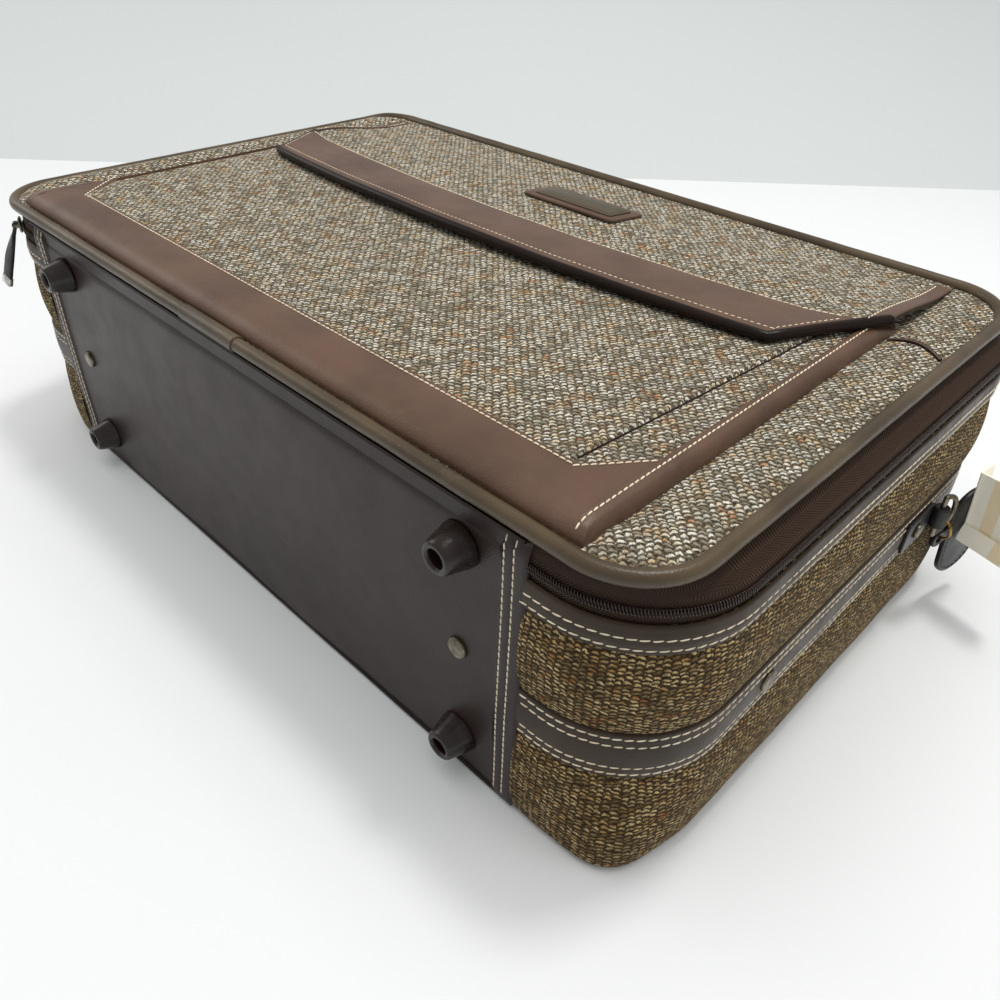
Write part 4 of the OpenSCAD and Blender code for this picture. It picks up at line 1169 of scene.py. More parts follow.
@dataclass
class BottomSide:
    """Leather bottom panel with its end seams, the fold under the piping, the feet and rivets."""

    y: float = -174.0
    panel_top: float = 157.4
    upper_z: Row = (150.0, 152.0, 154.0, 155.5, 156.6)
    inner_z: Pair = (100.0, 50.0)
    edge_r: float = 5.0
    wall_t: float = 3.0
    face: float = 0.6
    slow_wave: Pair = (0.7, 90.0)
    quick_wave: Pair = (0.25, 24.0)
    foot_dent: Pair = (1.0, 22.0)
    top_tuck: Pair = (2.2, 7.0)
    flat_x: float = 200.0
    seam_in: float = 202.5
    seam_out: float = 217.4
    seam_step: Pair = (1.5, 3.0)
    seam_rows: Row = (205.4, 210.6)
    seam_press: Pair = (0.4, 0.9)
    end_roll: float = 2.2
    end_rise: float = 6.0
    end_lead: float = 1.0
    rise_z: Pair = (120.0, 37.0)
    stitch: Pair = (3.9, 3.3)
    stitch_z: Pair = (6.0, 157.0)
    welt_r: float = 2.1
    welt_in: float = 0.9
    welt_uneven: Pair = (0.3, 50.0)
    fold_axis: Pair = (-1.0, 169.0)
    fold_r: Pair = (4.4, 5.6)
    fold_d: Pair = (-1.6, -0.4)
    fold_tail: float = 3.0
    fold_bend_z: float = 163.2
    step: float = 8.0
    foot_x: float = 180.0
    foot_z: Row = (23.0, 140.9)
    foot_profile: Pairs = (
        (10.6, 0.0), (11.0, 0.5), (10.9, 1.2), (10.2, 3.6), (9.3, 7.4), (8.4, 11.2), (7.9, 12.8), (7.5, 13.5),
        (6.9, 13.9), (6.0, 14.0), (5.1, 13.8), (4.6, 13.2), (4.4, 12.2), (4.3, 9.0), (4.3, 5.0))
    rivet_size: Pair = (5.5, 2.6)

    def panel_face(self, x: float, z: float) -> float:
        """Distance of the panel's face outside the case's outline.

        Args:
            x: Place across the panel.
            z: Height.

        Returns:
            The distance.
        """
        d = self.face + wave(self.slow_wave, x, 0.0, z) + wave(self.quick_wave, x, 7.0, z)
        dent, dent_width = self.foot_dent
        for foot_z in self.foot_z:
            d -= dent * bell(hypot(abs(x) - self.foot_x, z - foot_z), dent_width)
        step, run = self.seam_step
        d += step * ease((abs(x) - self.seam_in) / run)
        press, width = self.seam_press
        d -= sum(press * bell(abs(x) - row, width) for row in self.seam_rows)
        d *= rolled(self.seam_out - abs(x), self.end_roll)
        d -= tuck(z, self.edge_r)
        by, top_run = self.top_tuck
        return d - by * ease((z - self.panel_top + top_run) / top_run)

    def lifted(self, x: float, z: float) -> float:
        """Height of a point of the panel, whose sewn ends reach up to the piping."""
        share = ease((abs(x) - self.seam_in + self.end_lead) / self.seam_step[1])
        return z + self.end_rise * share * ramp(z, self.rise_z)

    def on_face(self, x: float, z: float) -> Point:
        """The point of the panel's face at one x and one height of the flat leather."""
        return (x, self.y - self.panel_face(x, z), self.lifted(x, z))

    def build(self) -> None:
        """Builds the panel, its stitches, the fold, the feet and the rivets."""
        heights = [*EDGE_HEIGHTS, *spread(9, 147, 4), *self.upper_z, self.panel_top]
        ends = [self.flat_x + 1 + 0.8 * k for k in range(21)] + [self.seam_out]
        xs = [-v for v in reversed(ends)] + spread(-self.flat_x, self.flat_x, 5) + ends
        inside = (self.panel_top, *self.inner_z, self.edge_r)
        panel = Mesher()
        panel.loft([[self.on_face(x, z) for z in heights]
                    + [(x, self.y + self.wall_t, self.lifted(x, z)) for z in inside]
                    + [(x, self.y + self.edge_r, self.wall_t)] for x in xs], along=xs)
        panel.piece("bottom_panel_leather", FINISH.panel, Body.CASE, Slot.DARK_LEATHER, "bottom_panel")
        thread = Mesher()
        for side in (-1, 1):
            for row in self.seam_rows:
                line = [self.on_face(side * row, z) for z in spread(*self.stitch_z, 3)]
                thread.stitches([(p, (0.0, -1.0, 0.0)) for p in line], *self.stitch)
        thread.piece("end_seam_stitches", FINISH.thread, Body.CASE, Slot.DARK_LEATHER)
        welt = Mesher()
        welt.tube([(x, self.y + self.welt_in + wave(self.welt_uneven, x, 0.0, 40.0), self.welt_r)
                   for x in spread(-SEAM_X, SEAM_X, self.step)], self.welt_r, 12)
        welt.piece("panel_lower_welt", FINISH.edge, Body.CASE, Slot.DARK_LEATHER)
        self.build_fold()
        self.build_feet()

    def build_fold(self) -> None:
        """Builds the leather fold that cups the piping along the hinge side."""
        (axis_d, axis_z), (r_in, r_out) = self.fold_axis, self.fold_r
        inner_d, outer_d = self.fold_d
        tail_z = self.panel_top - self.fold_tail
        lap = [(a, r_out) for a in range(4, 41, 6)] + [(a, r_in) for a in range(40, -9, -6)]
        section = [(inner_d, tail_z), (outer_d, tail_z), (outer_d, self.fold_bend_z)]
        section += [(axis_d + r * sin(radians(a)), axis_z - r * cos(radians(a))) for a, r in lap]
        fold = Mesher()
        fold.loft([[(x, self.y - d, z) for d, z in section] for x in spread(-SEAM_X, SEAM_X, self.step)])
        fold.piece("hinge_fold_leather", FINISH.panel, Body.CASE, Slot.DARK_LEATHER, "hinge_fold")

    def build_feet(self) -> None:
        """Builds the four feet and the two rivets, and dresses the screws."""
        for level, z in zip(("lower", "upper"), self.foot_z):
            for side, x in (("left", -self.foot_x), ("right", self.foot_x)):
                foot = Mesher()
                foot.turned(self.on_panel(x, z), self.foot_profile, 40)
                foot.piece(f"{level}_{side}_foot", FINISH.foot, Body.CASE, Slot.FOOT_PLASTIC,
                           f"foot_{level}_{side}")
        dress_solids(FINISH.nickel, "foot_screws")
        rivets = Mesher()
        for x in (-self.foot_x, self.foot_x):
            rivets.turned(self.on_panel(x, sum(self.foot_z) / 2), rivet_profile(*self.rivet_size))
        rivets.piece("bottom_rivet_heads", FINISH.nickel, Body.CASE, Slot.NICKEL, "bottom_rivets")

    def on_panel(self, x: float, z: float) -> Placement:
        """A frame on the panel whose third direction points out of it."""
        return Placement((x, self.y, z), (1, 0, 0), (0, 0, 1), (0, -1, 0))


@dataclass(frozen=True)
class Twisted(Placement):
    """A frame for a strap that hangs along the second direction and twists on its way down."""

    twist: float = 0.0
    stand_off: float = 3.5
    run: float = 26.0

    def put(self, u: float, v: float, w: float) -> Point:
        """Point of the twisted strap.

        Args:
            u: Distance across the strap.
            v: Distance up from the bar.
            w: Distance out of the strap.

        Returns:
            The point.
        """
        a = radians(self.twist) * ease(-v / self.run)
        c, s = cos(a), sin(a)
        return super().put(u * c - w * s, v, u * s + w * c + abs(s) * self.stand_off)


@dataclass
class ZipFastener:
    """Tapes, coil chains, sliders and pulls."""

    middle_z: float = 153.0
    lower_tape: Pairs = (
        (-1.0, 145.5), (-0.9, 147.5), (-0.7, 149.5), (-0.6, 152.3), (-1.6, 152.4), (-2.0, 149.0),
        (-2.0, 145.5))
    upper_low: Pair = (-0.7, 153.8)
    upper_bend: Pair = (-0.9, 156.8)
    upper_seat: Pair = (-2.6, 165.2)
    upper_belly: Pair = (0.5, 0.3)
    upper_back: Pair = (1.0, 0.4)
    coil_pitch: float = 1.25
    coil_points: int = 9
    coil_wire: float = 0.34
    coil_d: float = 0.3
    coil_rd: float = 0.75
    coil_rz: float = 1.0
    coil_rise: float = 0.95
    coil_end: float = 0.4
    twists: Pair = (-28.0, 0.0)
    front_turn: float = 244.0
    rear_y: float = -106.0
    lean: float = 20.0
    slider_out: float = 3.2
    shield_t: float = 1.4
    shield: Pairs = (
        (-3.6, -4.5), (3.6, -4.5), (5.0, -3.4), (5.5, 0.0), (4.4, 3.4), (3.0, 4.5), (-3.0, 4.5), (-4.4, 3.4),
        (-5.5, 0.0), (-5.0, -3.4))
    back_plate: Point = (6.0, 4.6, 1.0)
    back_d: Pair = (-4.2, -2.8)
    web: Point = (4.0, 0.9, 0.3)
    web_d: float = -3.6
    leg: Point = (1.6, 2.2, 0.5)
    leg_at: float = 3.7
    bar_profile: Pairs = ((0.7, -4.5), (0.9, -4.3), (0.9, 4.3), (0.7, 4.5))
    eye: Pairs = ((1.02, -2.3), (1.6, -2.5), (1.95, -2.2), (1.95, 2.2), (1.6, 2.5), (1.02, 2.3))
    pull_out: float = 5.7
    pull_l: float = 43.0
    pull_w: float = 10.0
    pull_t: float = 2.4
    neck: float = 2.5
    neck_v: Pair = (5.6, 4.0)
    tip_l: float = 6.0
    tip_lap: float = 0.6
    tip_half_t: float = 1.45

    def build(self) -> None:
        """Builds the tapes, the chains and both sliders with their pulls."""
        self.build_tapes()
        self.build_coil("lower_zip_coil", -1, Body.CASE, "case_zip_chain")
        self.build_coil("upper_zip_coil", 1, Body.LID, "lid_zip_chain")
        dress_solids(FINISH.nickel, "zip_stops")
        c, s = cos_sin(self.front_turn)
        r = CASE_LINE.radius
        corner = (r - CASE_LINE.half_w + r * c, CASE_LINE.low + r + r * s, self.middle_z)
        self.build_slider("front", Body.SLIDER_FRONT, Body.PULL_FRONT,
                          Placement(corner, (c, s, 0), (-s, c, 0), (0, 0, 1)))
        side = (-CASE_LINE.half_w, self.rear_y, self.middle_z)
        self.build_slider("rear", Body.SLIDER_REAR, Body.PULL_REAR,
                          Placement(side, (-1, 0, 0), (0, -1, 0), (0, 0, 1)))

    def build_tapes(self) -> None:
        """Builds the lower tape and the sloping upper tape."""
        walls, lids = CASE_LINE.walk(SEAM_X, 2), LID_LINE.walk(SEAM_X, 2)
        lower = Mesher()
        lower.loft([[p.out(d, z) for d, z in self.lower_tape] for p in walls], along=[p.s for p in walls])
        lower.piece("lower_zip_tape", FINISH.tape, Body.CASE, Slot.ZIP_TAPE, "case_zip_tape")
        upper = Mesher()
        rows = []
        (out, up), (back_in, back_down) = self.upper_belly, self.upper_back
        for p, q in zip(walls, lids):
            low, bend, seat = p.out(*self.upper_low), p.out(*self.upper_bend), q.out(*self.upper_seat)
            slope = [tuple(b + (s - b) * k for b, s in zip(bend, seat)) for k in (0.25, 0.5, 0.75)]
            face = [low, bend] + [(x + p.nx * out, y + p.ny * out, z + up) for x, y, z in slope] + [seat]
            rows.append(face + [(x - p.nx * back_in, y - p.ny * back_in, z - back_down)
                                for x, y, z in reversed(face)])
        upper.loft(rows, along=[p.s for p in walls])
        upper.piece("upper_zip_tape", FINISH.tape, Body.LID, Slot.ZIP_TAPE, "lid_zip_tape")

    def build_coil(self, name: str, side: int, body: Body, node: str) -> None:
        """Builds one half of the chain as a wound coil.

        Args:
            name: Name of the piece.
            side: -1 for the lower half, 1 for the upper half.
            body: The body that carries it.
            node: The CAD node that it stands for.
        """
        walls = CASE_LINE.walk(SEAM_X - self.coil_end, 3)
        at, line = 0, []
        count = int(walls[-1].s / self.coil_pitch * self.coil_points)
        for k in range(count + 1):
            s = walls[-1].s * k / count
            while at < len(walls) - 2 and walls[at + 1].s < s:
                at += 1
            p, q = walls[at], walls[at + 1]
            t = (s - p.s) / (q.s - p.s)
            turn = 2 * pi * s / self.coil_pitch + (pi if side > 0 else 0.0)
            d = self.coil_d + self.coil_rd * cos(turn)
            (x, y), (nx, ny) = lerp((p.x, p.y), (q.x, q.y), t), lerp((p.nx, p.ny), (q.nx, q.ny), t)
            z = self.middle_z + side * self.coil_rise + self.coil_rz * sin(turn)
            line.append((x + nx * d, y + ny * d, z))
        coil = Mesher()
        coil.tube(line, self.coil_wire, 5)
        coil.piece(name, FINISH.chain, body, Slot.ZIP_CHAIN, node, crease=80.0)

    def build_slider(self, name: str, slider_body: Body, pull_body: Body, place: Placement) -> None:
        """Builds one slider, its leather pull and the pull's metal tip.

        Args:
            name: front or rear.
            slider_body: Body of the slider.
            pull_body: Body of the pull.
            place: Frame with its first direction out of the wall, the second along the zip, the third up.
        """
        face = Placement(place.origin, place.b, place.c, place.a)
        bar = Placement(place.put(self.pull_out, 0, 0), place.a, place.c, place.b)
        slider = Mesher()
        slider.plate(face, self.shield, self.slider_out - self.shield_t, self.slider_out, 0.45)
        slider.plate(face, round_rect(*self.back_plate), *self.back_d, 0.3)
        slider.plate(face, round_rect(*self.web), self.web_d, self.slider_out - 0.4, 0.1)
        for end in (-1, 1):
            leg = [(end * self.leg_at + u, v) for u, v in round_rect(*self.leg)]
            slider.plate(face, leg, self.slider_out - 0.6, self.pull_out + 0.9, 0.3)
        slider.turned(bar, self.bar_profile, 14)
        slider.piece(f"{name}_slider", FINISH.nickel, slider_body, Slot.NICKEL, f"zip_slider_{name}")
        c, s = cos_sin(self.lean)
        up = tuple(c * k - s * n for k, n in zip(place.c, place.a))
        face_out = tuple(c * n + s * k for k, n in zip(place.c, place.a))
        hang = Twisted(bar.origin, place.b, up, face_out, self.twists[name == "rear"])
        low = -self.pull_l + self.tip_l
        rows = []
        for v in spread(-2.0, -6.4, 1.5) + [-7.9] + spread(-9.6, low, 2.5):
            wide = self.neck + (self.pull_w / 2 - self.neck) * ramp(-v, self.neck_v)
            rows.append([hang.put(a, v, b) for a, b in round_rect(2 * wide, self.pull_t, 0.7, 2)])
        strap = Mesher()
        strap.loft(rows)
        strap.hoop(bar, self.eye, 20)
        strap.piece(f"{name}_pull_strap", FINISH.black, pull_body, Slot.BLACK_LEATHER, f"zip_pull_{name}")
        centre = -self.pull_l + self.tip_l / 2
        plan = [(u, v + centre) for u, v in round_rect(self.pull_w + self.tip_lap, self.tip_l, 0.9)]
        tip = Mesher()
        tip.plate(hang, plan, -self.tip_half_t, self.tip_half_t, 0.5)
        tip.piece(f"{name}_pull_tip", FINISH.bright, pull_body, Slot.NICKEL, f"zip_tip_{name}")


@dataclass
class Lid:
    """Tweed lid panel, piping, lining and board."""

    top: float = 169.0
    panel_t: float = 2.0
    margin: float = 1.6
    crown: Pair = (6.5, 3.0)
    crown_x: Pair = (230.0, 8.0)
    crown_run: float = 32.0
    crown_round: float = 0.8
    far_y: Pair = (116.0, 32.0)
    edge_lift: Pair = (0.6, 1.2)
    edge_run: float = 9.0
    uneven: Pair = (0.3, 40.0)
    pipe_r: float = 3.6
    pipe_sides: int = 16
    pipe_lumps: Pair = (0.12, 16.0)
    pipe_sway: Pair = (0.3, 60.0)
    far_rise: float = 2.8
    far_turn: Pair = (0.1, 0.7)
    joint: Pairs = ((4.0, -26.0), (4.25, -25.0), (4.35, 21.5), (4.45, 23.1), (4.05, 23.5))
    dart: tuple[Pair, Pair] = ((237.5, 69.5), (265.5, 65.5))
    dart_bow: float = 18.0
    dart_out: float = 0.3
    # Radii of the seam's cord and of the two dark cords beside it, which paint the shade along the seam, and
    # their distance from the middle.
    dart_r: Pair = (0.8, 0.6)
    dart_side: float = 1.2
    lining_in: float = 9.2
    lining_z: Pair = (165.2, 166.0)
    lining_sag: Pair = (0.5, 50.0)

    def panel_top(self, x: float, y: float) -> float:
        """Height of the lid's tweed.

        Args:
            x: Place across the lid.
            y: Place from the hinge to the handle side.

        Returns:
            The height.
        """
        e = LID_LINE.depth(x, y) - self.margin
        side = sin(pi * min(1.0, max(0.0, e / self.crown_run))) ** self.crown_round
        crown = self.crown[x > 0] * ramp(abs(x), self.crown_x)
        near_lift, far_lift = self.edge_lift
        edge = (near_lift + far_lift * ramp(y, self.far_y)) * (1 - ease(e / self.edge_run))
        return self.top + edge + crown * side + wave(self.uneven, x, y, 3.0)

    def build(self) -> None:
        """Builds the panel, the piping with its joint, the seam across the margin with dark cords that paint
        the shade on both its sides, and the lining.
        """
        panel = Mesher()
        panel.sheet(LID_LINE.inset(self.margin), self.panel_top, lambda x, y: self.top - self.panel_t)
        piece = panel.piece("lid_tweed_panel", FINISH.lid_tweed, Body.LID, Slot.TWEED, "lid_panel")
        self.build_piping()
        self.build_seam("margin_seam", FINISH.trim, self.dart_r[0], (0.0,))
        # The two dark cords beside the seam are painted shade along both sides of its ridge.
        self.build_seam("margin_seam_painted_shade", FINISH.edge, self.dart_r[1], (-self.dart_side, self.dart_side))
        low, high = self.lining_z
        lining = Mesher()
        lining.sheet(LID_LINE.inset(self.lining_in), lambda x, y: high,
                     lambda x, y: low - abs(wave(self.lining_sag, x, y, 9.0)))
        lining.piece("lid_lining_cloth", FINISH.lining, Body.LID, Slot.LINING, "lid_lining")
        dress_solids(FINISH.board, "lid_board")

    def build_piping(self) -> None:
        """Builds the round piping and the sleeve over its joint."""
        rows = []
        for p in LID_LINE.walk(None, 2):
            r = self.pipe_r + wave(self.pipe_lumps, p.x, p.y, 0.0)
            off = wave(self.pipe_sway, p.x, p.y, 50.0)
            z = self.top + self.far_rise * ramp(p.ny, self.far_turn)
            rows.append([p.out(off + r * cos(t), z + r * sin(t)) for t in angles(self.pipe_sides)])
        pipe = Mesher()
        pipe.loft(rows, loop=True)
        axis = Placement((0.0, LID_LINE.low, self.top), *ALONG_X)
        pipe.turned(axis, self.joint, 20)
        pipe.piece("piping_cord", FINISH.piping, Body.LID, Slot.PIPING, "lid_piping")

    def build_seam(self, name: str, finish: Finish, radius: float, offsets: Sequence[float]) -> None:
        """Builds cords along the bowed seam across the lid's margin.

        Args:
            name: Name of the piece.
            finish: Its finish.
            radius: Radius of a cord.
            offsets: Distance of each cord from the middle of the seam.
        """
        seam = Mesher()
        shares = spread(0, 1, 0.06)
        for off in offsets:
            line = [lerp(*self.dart, k) for k in shares]
            line = [(x, y + off + self.dart_bow * k * (1 - k)) for (x, y), k in zip(line, shares)]
            seam.tube([(x, y, self.panel_top(x, y) + self.dart_out) for x, y in line], radius, 8)
        seam.piece(name, finish, Body.LID, Slot.BROWN_LEATHER)


@dataclass
class Pocket:
    """Flat pocket on the lid: gusset, tweed panel, leather trim, stitching and the welt behind the flap."""

    half_w: float = 236.0
    low: float = -168.5
    mouth: float = 57.5
    gusset_z: Pair = (169.0, 173.8)
    gusset_t: float = 3.0
    gusset_belly: float = 1.2
    gusset_fall: float = 0.8
    hidden: float = 4.0
    panel_z: Pair = (173.8, 175.8)
    panel_t: float = 1.0
    crown: float = 0.7
    crown_edge: Pair = (14.0, 40.0)
    crown_mouth: Pair = (60.0, 0.4)
    uneven: Pair = (0.25, 38.0)
    left_ridge: Point = (1.2, -206.0, 13.0)
    left_fall: float = 5.5
    fall_lead: float = 0.15
    fall_y: Pair = (-138.0, 34.0)
    panel_fall: float = 1.1
    pleat: tuple[Pair, Pair] = ((203.0, -136.0), (216.0, 57.5))
    pleat_rise: float = 1.1
    pleat_run: float = 22.0
    pleat_lip: float = 0.9
    pleat_dent: Pair = (0.6, 0.8)
    # Offset, lift and radius of the dark cord that paints the shadow in the pleat's fold.
    pleat_shadow_cord: Point = (0.8, 0.15, 0.5)
    trim_t: float = 1.2
    trim_roll: float = 1.2
    trim_crown: Pair = (0.2, 8.0)
    trim_uneven: Pair = (0.15, 26.0)
    trim_step: float = 5.0
    trim_press: float = 0.35
    foot_w: float = 31.5
    cut: Pair = (20.0, 28.0)
    wrap: Pair = (5.0, 11.0)
    wrap_z: float = 169.6
    row_in: float = 2.9
    strip_w: float = 8.5
    strip_t: float = 1.0
    strip_over: float = 0.4
    strip_press: float = 0.3
    strip_uneven: Pair = (0.1, 30.0)
    strip_end: float = 84.0
    strip_end_z: float = 1.2
    strip_rows: Pair = (70.0, 2.0)
    lap: float = 0.6
    welt_y: Pair = (154.4, 157.8)
    welt_low: float = 169.0
    welt_top: float = 172.6
    welt_uneven: Pair = (0.2, 20.0)

    def build(self) -> None:
        """Builds the gusset, the panel, the trim with its stitches and the welt."""
        self.build_gusset()
        self.build_panel()
        self.build_trim()
        self.build_strips()
        self.build_welt()

    def build_welt(self) -> None:
        """Builds the tweed welt behind the flap's fold."""
        (y0, y1), top = self.welt_y, self.welt_top
        section = [(y0, self.welt_low), (y1, self.welt_low), (y1, top - 3.0), (y1 - 0.5, top - 1.0),
                   (y1 - 1.4, top), (y0 + 0.8, top + 0.2), (y0, top - 0.6)]
        welt = Mesher()
        welt.loft([[(x, y + wave(self.welt_uneven, x, 0, z), z) for y, z in section]
                   for x in spread(-self.half_w, self.half_w, 6)])
        welt.piece("flap_welt_tweed", FINISH.lid_tweed, Body.LID, Slot.TWEED, "flap_welt")

    def build_gusset(self) -> None:
        """Builds the walls of the pocket."""
        t, w, low = self.gusset_t, self.half_w - self.hidden, self.low + self.hidden
        outer = [(-w, self.mouth), (-w, low), (w, low), (w, self.mouth)]
        inner = [(-w + t, self.mouth), (-w + t, low + t), (w - t, low + t), (w - t, self.mouth)]
        z0, z1 = self.gusset_z
        pairs = []
        for k in range(len(outer) - 1):
            for share in spread(0, 1, 0.04)[:-1]:
                pairs.append((lerp(outer[k], outer[k + 1], share), lerp(inner[k], inner[k + 1], share)))
        pairs.append((outer[-1], inner[-1]))
        rings = []
        for o, i in pairs:
            top = z1 - self.gusset_fall * self.fall(*o)
            belly = (*lerp(i, o, self.gusset_belly), min((z0 + z1) / 2, top))
            rings.append([(*o, z0), belly, (*o, top), (*i, top), (*i, z0)])
        gusset = Mesher()
        gusset.loft(rings)
        gusset.piece("pocket_gusset_leather", FINISH.trim, Body.LID, Slot.BROWN_LEATHER, "pocket_gusset")

    def fall(self, x: float, y: float) -> float:
        """How far the left strip has folded down beside the full pocket."""
        inside = -x - self.half_w + self.strip_w
        return self.left_fall * ease(inside / self.strip_w + self.fall_lead) * ramp(y, self.fall_y)

    def panel_top(self, x: float, y: float) -> float:
        """Height of the pocket's tweed, with the pleat beside the right strip.

        Args:
            x: Place across the pocket.
            y: Place from its lower edge to its mouth.

        Returns:
            The height.
        """
        (ax, ay), (bx, by) = self.pleat
        off = x - (ax + (bx - ax) * (y - ay) / (by - ay))
        dent, dent_width = self.pleat_dent
        fold = self.pleat_rise * ease(1 + off / self.pleat_run) * (1 - ease(off / self.pleat_lip + 0.5))
        fold -= dent * bell(off - self.pleat_lip, dent_width)
        mouth_run, lead = self.crown_mouth
        e = min(self.half_w - abs(x), y - self.low)
        crown = self.crown * ramp(e, self.crown_edge) * ease((self.mouth - y) / mouth_run + lead)
        ridge, ridge_x, ridge_width = self.left_ridge
        z = self.panel_z[1] + crown + fold * (y > ay) + wave(self.uneven, x, y, 12.0)
        return z + ridge * bell(x - ridge_x, ridge_width) - self.panel_fall * self.fall(x, y)

    def panel_low(self, x: float, y: float) -> float:
        """Height of the underside of the pocket's tweed."""
        return min(self.panel_z[0], self.panel_top(x, y)) - self.panel_t

    def build_panel(self) -> None:
        """Builds the tweed panel and the dark cord along its pleat that paints the pleat's shadow."""
        side = self.half_w - self.wrap[0]
        xs = spread(-side, -180.0, 3.0) + spread(-172.0, 191.0, 9.0) + spread(191.8, 222.0, 0.8) + [side]
        ys = spread(self.low + 3 * self.hidden, self.mouth, 7.0)
        panel = Mesher()
        panel.slab([([(x, y) for x in xs], self.panel_top, self.panel_low) for y in ys])
        panel.piece("pocket_tweed_panel", FINISH.lid_tweed, Body.LID, Slot.TWEED, "pocket_panel")
        # The dark cord is painted shadow in the pleat's fold, not a sewn seam.
        off, rise, radius = self.pleat_shadow_cord
        line = [lerp(*self.pleat, k) for k in spread(0.01, 1, 0.03)]
        crease = Mesher()
        crease.tube([(x + off, y, self.panel_top(x + off, y) + rise) for x, y in line], radius, 6)
        crease.piece("pleat_painted_shadow", FINISH.edge, Body.LID, Slot.TWEED)

    def trim_edges(self) -> list[tuple[Pair, Pair, bool]]:
        """Outer and inner edge of the trim, place by place from the left mouth to the right one.

        Returns:
            For each place the outer point, the inner point and whether its inner edge is sewn.
        """
        w, inner, foot = self.half_w, self.half_w - self.strip_w, self.low + self.foot_w
        cx, cy = self.cut
        outer = [(-w, self.mouth), (-w, foot + cy), (-w, self.low), (-inner + cx, self.low)]
        inside = [(-inner, self.mouth), (-inner, foot + cy), (-inner + cx / 2, foot + cy / 2),
                  (-inner + cx, foot)]
        outer += [(-x, y) for x, y in reversed(outer)]
        inside += [(-x, y) for x, y in reversed(inside)]
        found = []
        last = len(outer) - 2
        for k in range(last + 1):
            run = max(dist(outer[k], outer[k + 1]), dist(inside[k], inside[k + 1]))
            for t in spread(0, 1, self.trim_step / run)[:-1]:
                place = lerp(outer[k], outer[k + 1], t), lerp(inside[k], inside[k + 1], t)
                found.append((*place, 0 < k < last))
        found.append((outer[-1], inside[-1], False))
        return found

    def trim_ring(self, o: Pair, i: Pair, sewn: bool) -> list[Point]:
        """Section of the trim between its outer and its inner edge.

        Args:
            o: Point of the outer edge, which wraps down over the gusset.
            i: Point of the inner edge.
            sewn: True where a row of stitches presses in along the inner edge.

        Returns:
            The closed ring of points.
        """
        wide = dist(o, i)
        narrow, full = self.wrap
        wrap = narrow + (full - narrow) * ease((wide - self.strip_w) / (self.foot_w - self.strip_w))
        crown, crown_run = self.trim_crown
        ring = [(*o, self.wrap_z - 0.4)]
        for e in crowded(0.0, wide, 4.0, 5.5, like=self.foot_w):
            x, y = lerp(o, i, e / wide)
            z = self.panel_z[1] + self.trim_t * max(0.1, rolled(wide - e, self.trim_roll))
            z += crown * ease(min(e, wide - e) / crown_run)
            z -= (z - self.wrap_z) * (1 - rolled(e, wrap))
            z -= self.trim_press * sewn * bell(wide - e - self.row_in, ROW_PRESS)
            z = z + wave(self.trim_uneven, x, y, 5.0) - self.fall(x, y)
            ring.append((x, y, max(self.wrap_z - 0.2, z)))
        return ring + [(*i, self.panel_z[1] - 1.2)]

    def build_trim(self) -> None:
        """Builds the leather trim and the row of stitches along its foot band and cut corners."""
        places = self.trim_edges()
        trim = Mesher()
        trim.loft([self.trim_ring(*place) for place in places])
        trim.piece("pocket_trim_leather", FINISH.trim, Body.LID, Slot.BROWN_LEATHER, "pocket_trim")
        z = self.panel_z[1] + self.trim_t + 0.1
        thread = Mesher()
        thread.stitches([((*lerp(i, o, self.row_in / dist(o, i)), z), (0.0, 0.0, 1.0))
                         for o, i, sewn in places if sewn])
        thread.piece("pocket_stitches", FINISH.thread, Body.LID, Slot.BROWN_LEATHER)

    def strip_top(self, x: float, y: float) -> float:
        """Height of a side strip, which laps over the foot band and wraps down at its edges.

        Args:
            x: Place across the pocket.
            y: Place from its lower edge to its mouth.

        Returns:
            The height.
        """
        inside = abs(x) - self.half_w + self.strip_w
        z = self.panel_z[1] + self.trim_t + self.lap * max(0.05, rolled(inside, EDGE_ROLL))
        z -= self.strip_press * bell(inside - self.row_in, ROW_PRESS) + self.fall(x, y)
        z -= (z - self.wrap_z - self.strip_end_z) * ease((y - self.mouth) / (self.strip_end - self.mouth))
        side_wrap, foot_wrap = self.wrap
        drop = rolled(self.half_w + self.strip_over - abs(x), side_wrap) * rolled(y - self.low, foot_wrap)
        return z - (z - self.wrap_z) * (1 - drop) + wave(self.strip_uneven, x, y, 8.0)

    def build_strips(self) -> None:
        """Builds the side strips with one straight row of stitches each."""
        strips, thread = Mesher(), Mesher()
        edge = self.half_w - self.strip_w
        ys = crowded(self.low - self.strip_over, self.strip_end, 6.0, 12.0)
        for side, start in zip((-1, 1), self.strip_rows):
            strips.slab([([(side * k, y) for y in ys], self.strip_top,
                          lambda x, y: self.strip_top(x, y) - self.strip_t)
                         for k in crowded(edge, self.half_w + self.strip_over, 3.0, 5.0)])
            x = side * (edge + self.row_in)
            line = []
            for y in spread(self.low + start, self.mouth + 10, 3.0):
                slope = self.strip_top(x, y - 0.5) - self.strip_top(x, y + 0.5)
                line.append(((x, y, self.strip_top(x, y) + 0.2), (0.0, slope, 1.0)))
            thread.stitches(line)
        strips.piece("pocket_strip_leather", FINISH.trim, Body.LID, Slot.BROWN_LEATHER)
        thread.piece("pocket_strip_stitches", FINISH.thread, Body.LID, Slot.BROWN_LEATHER)


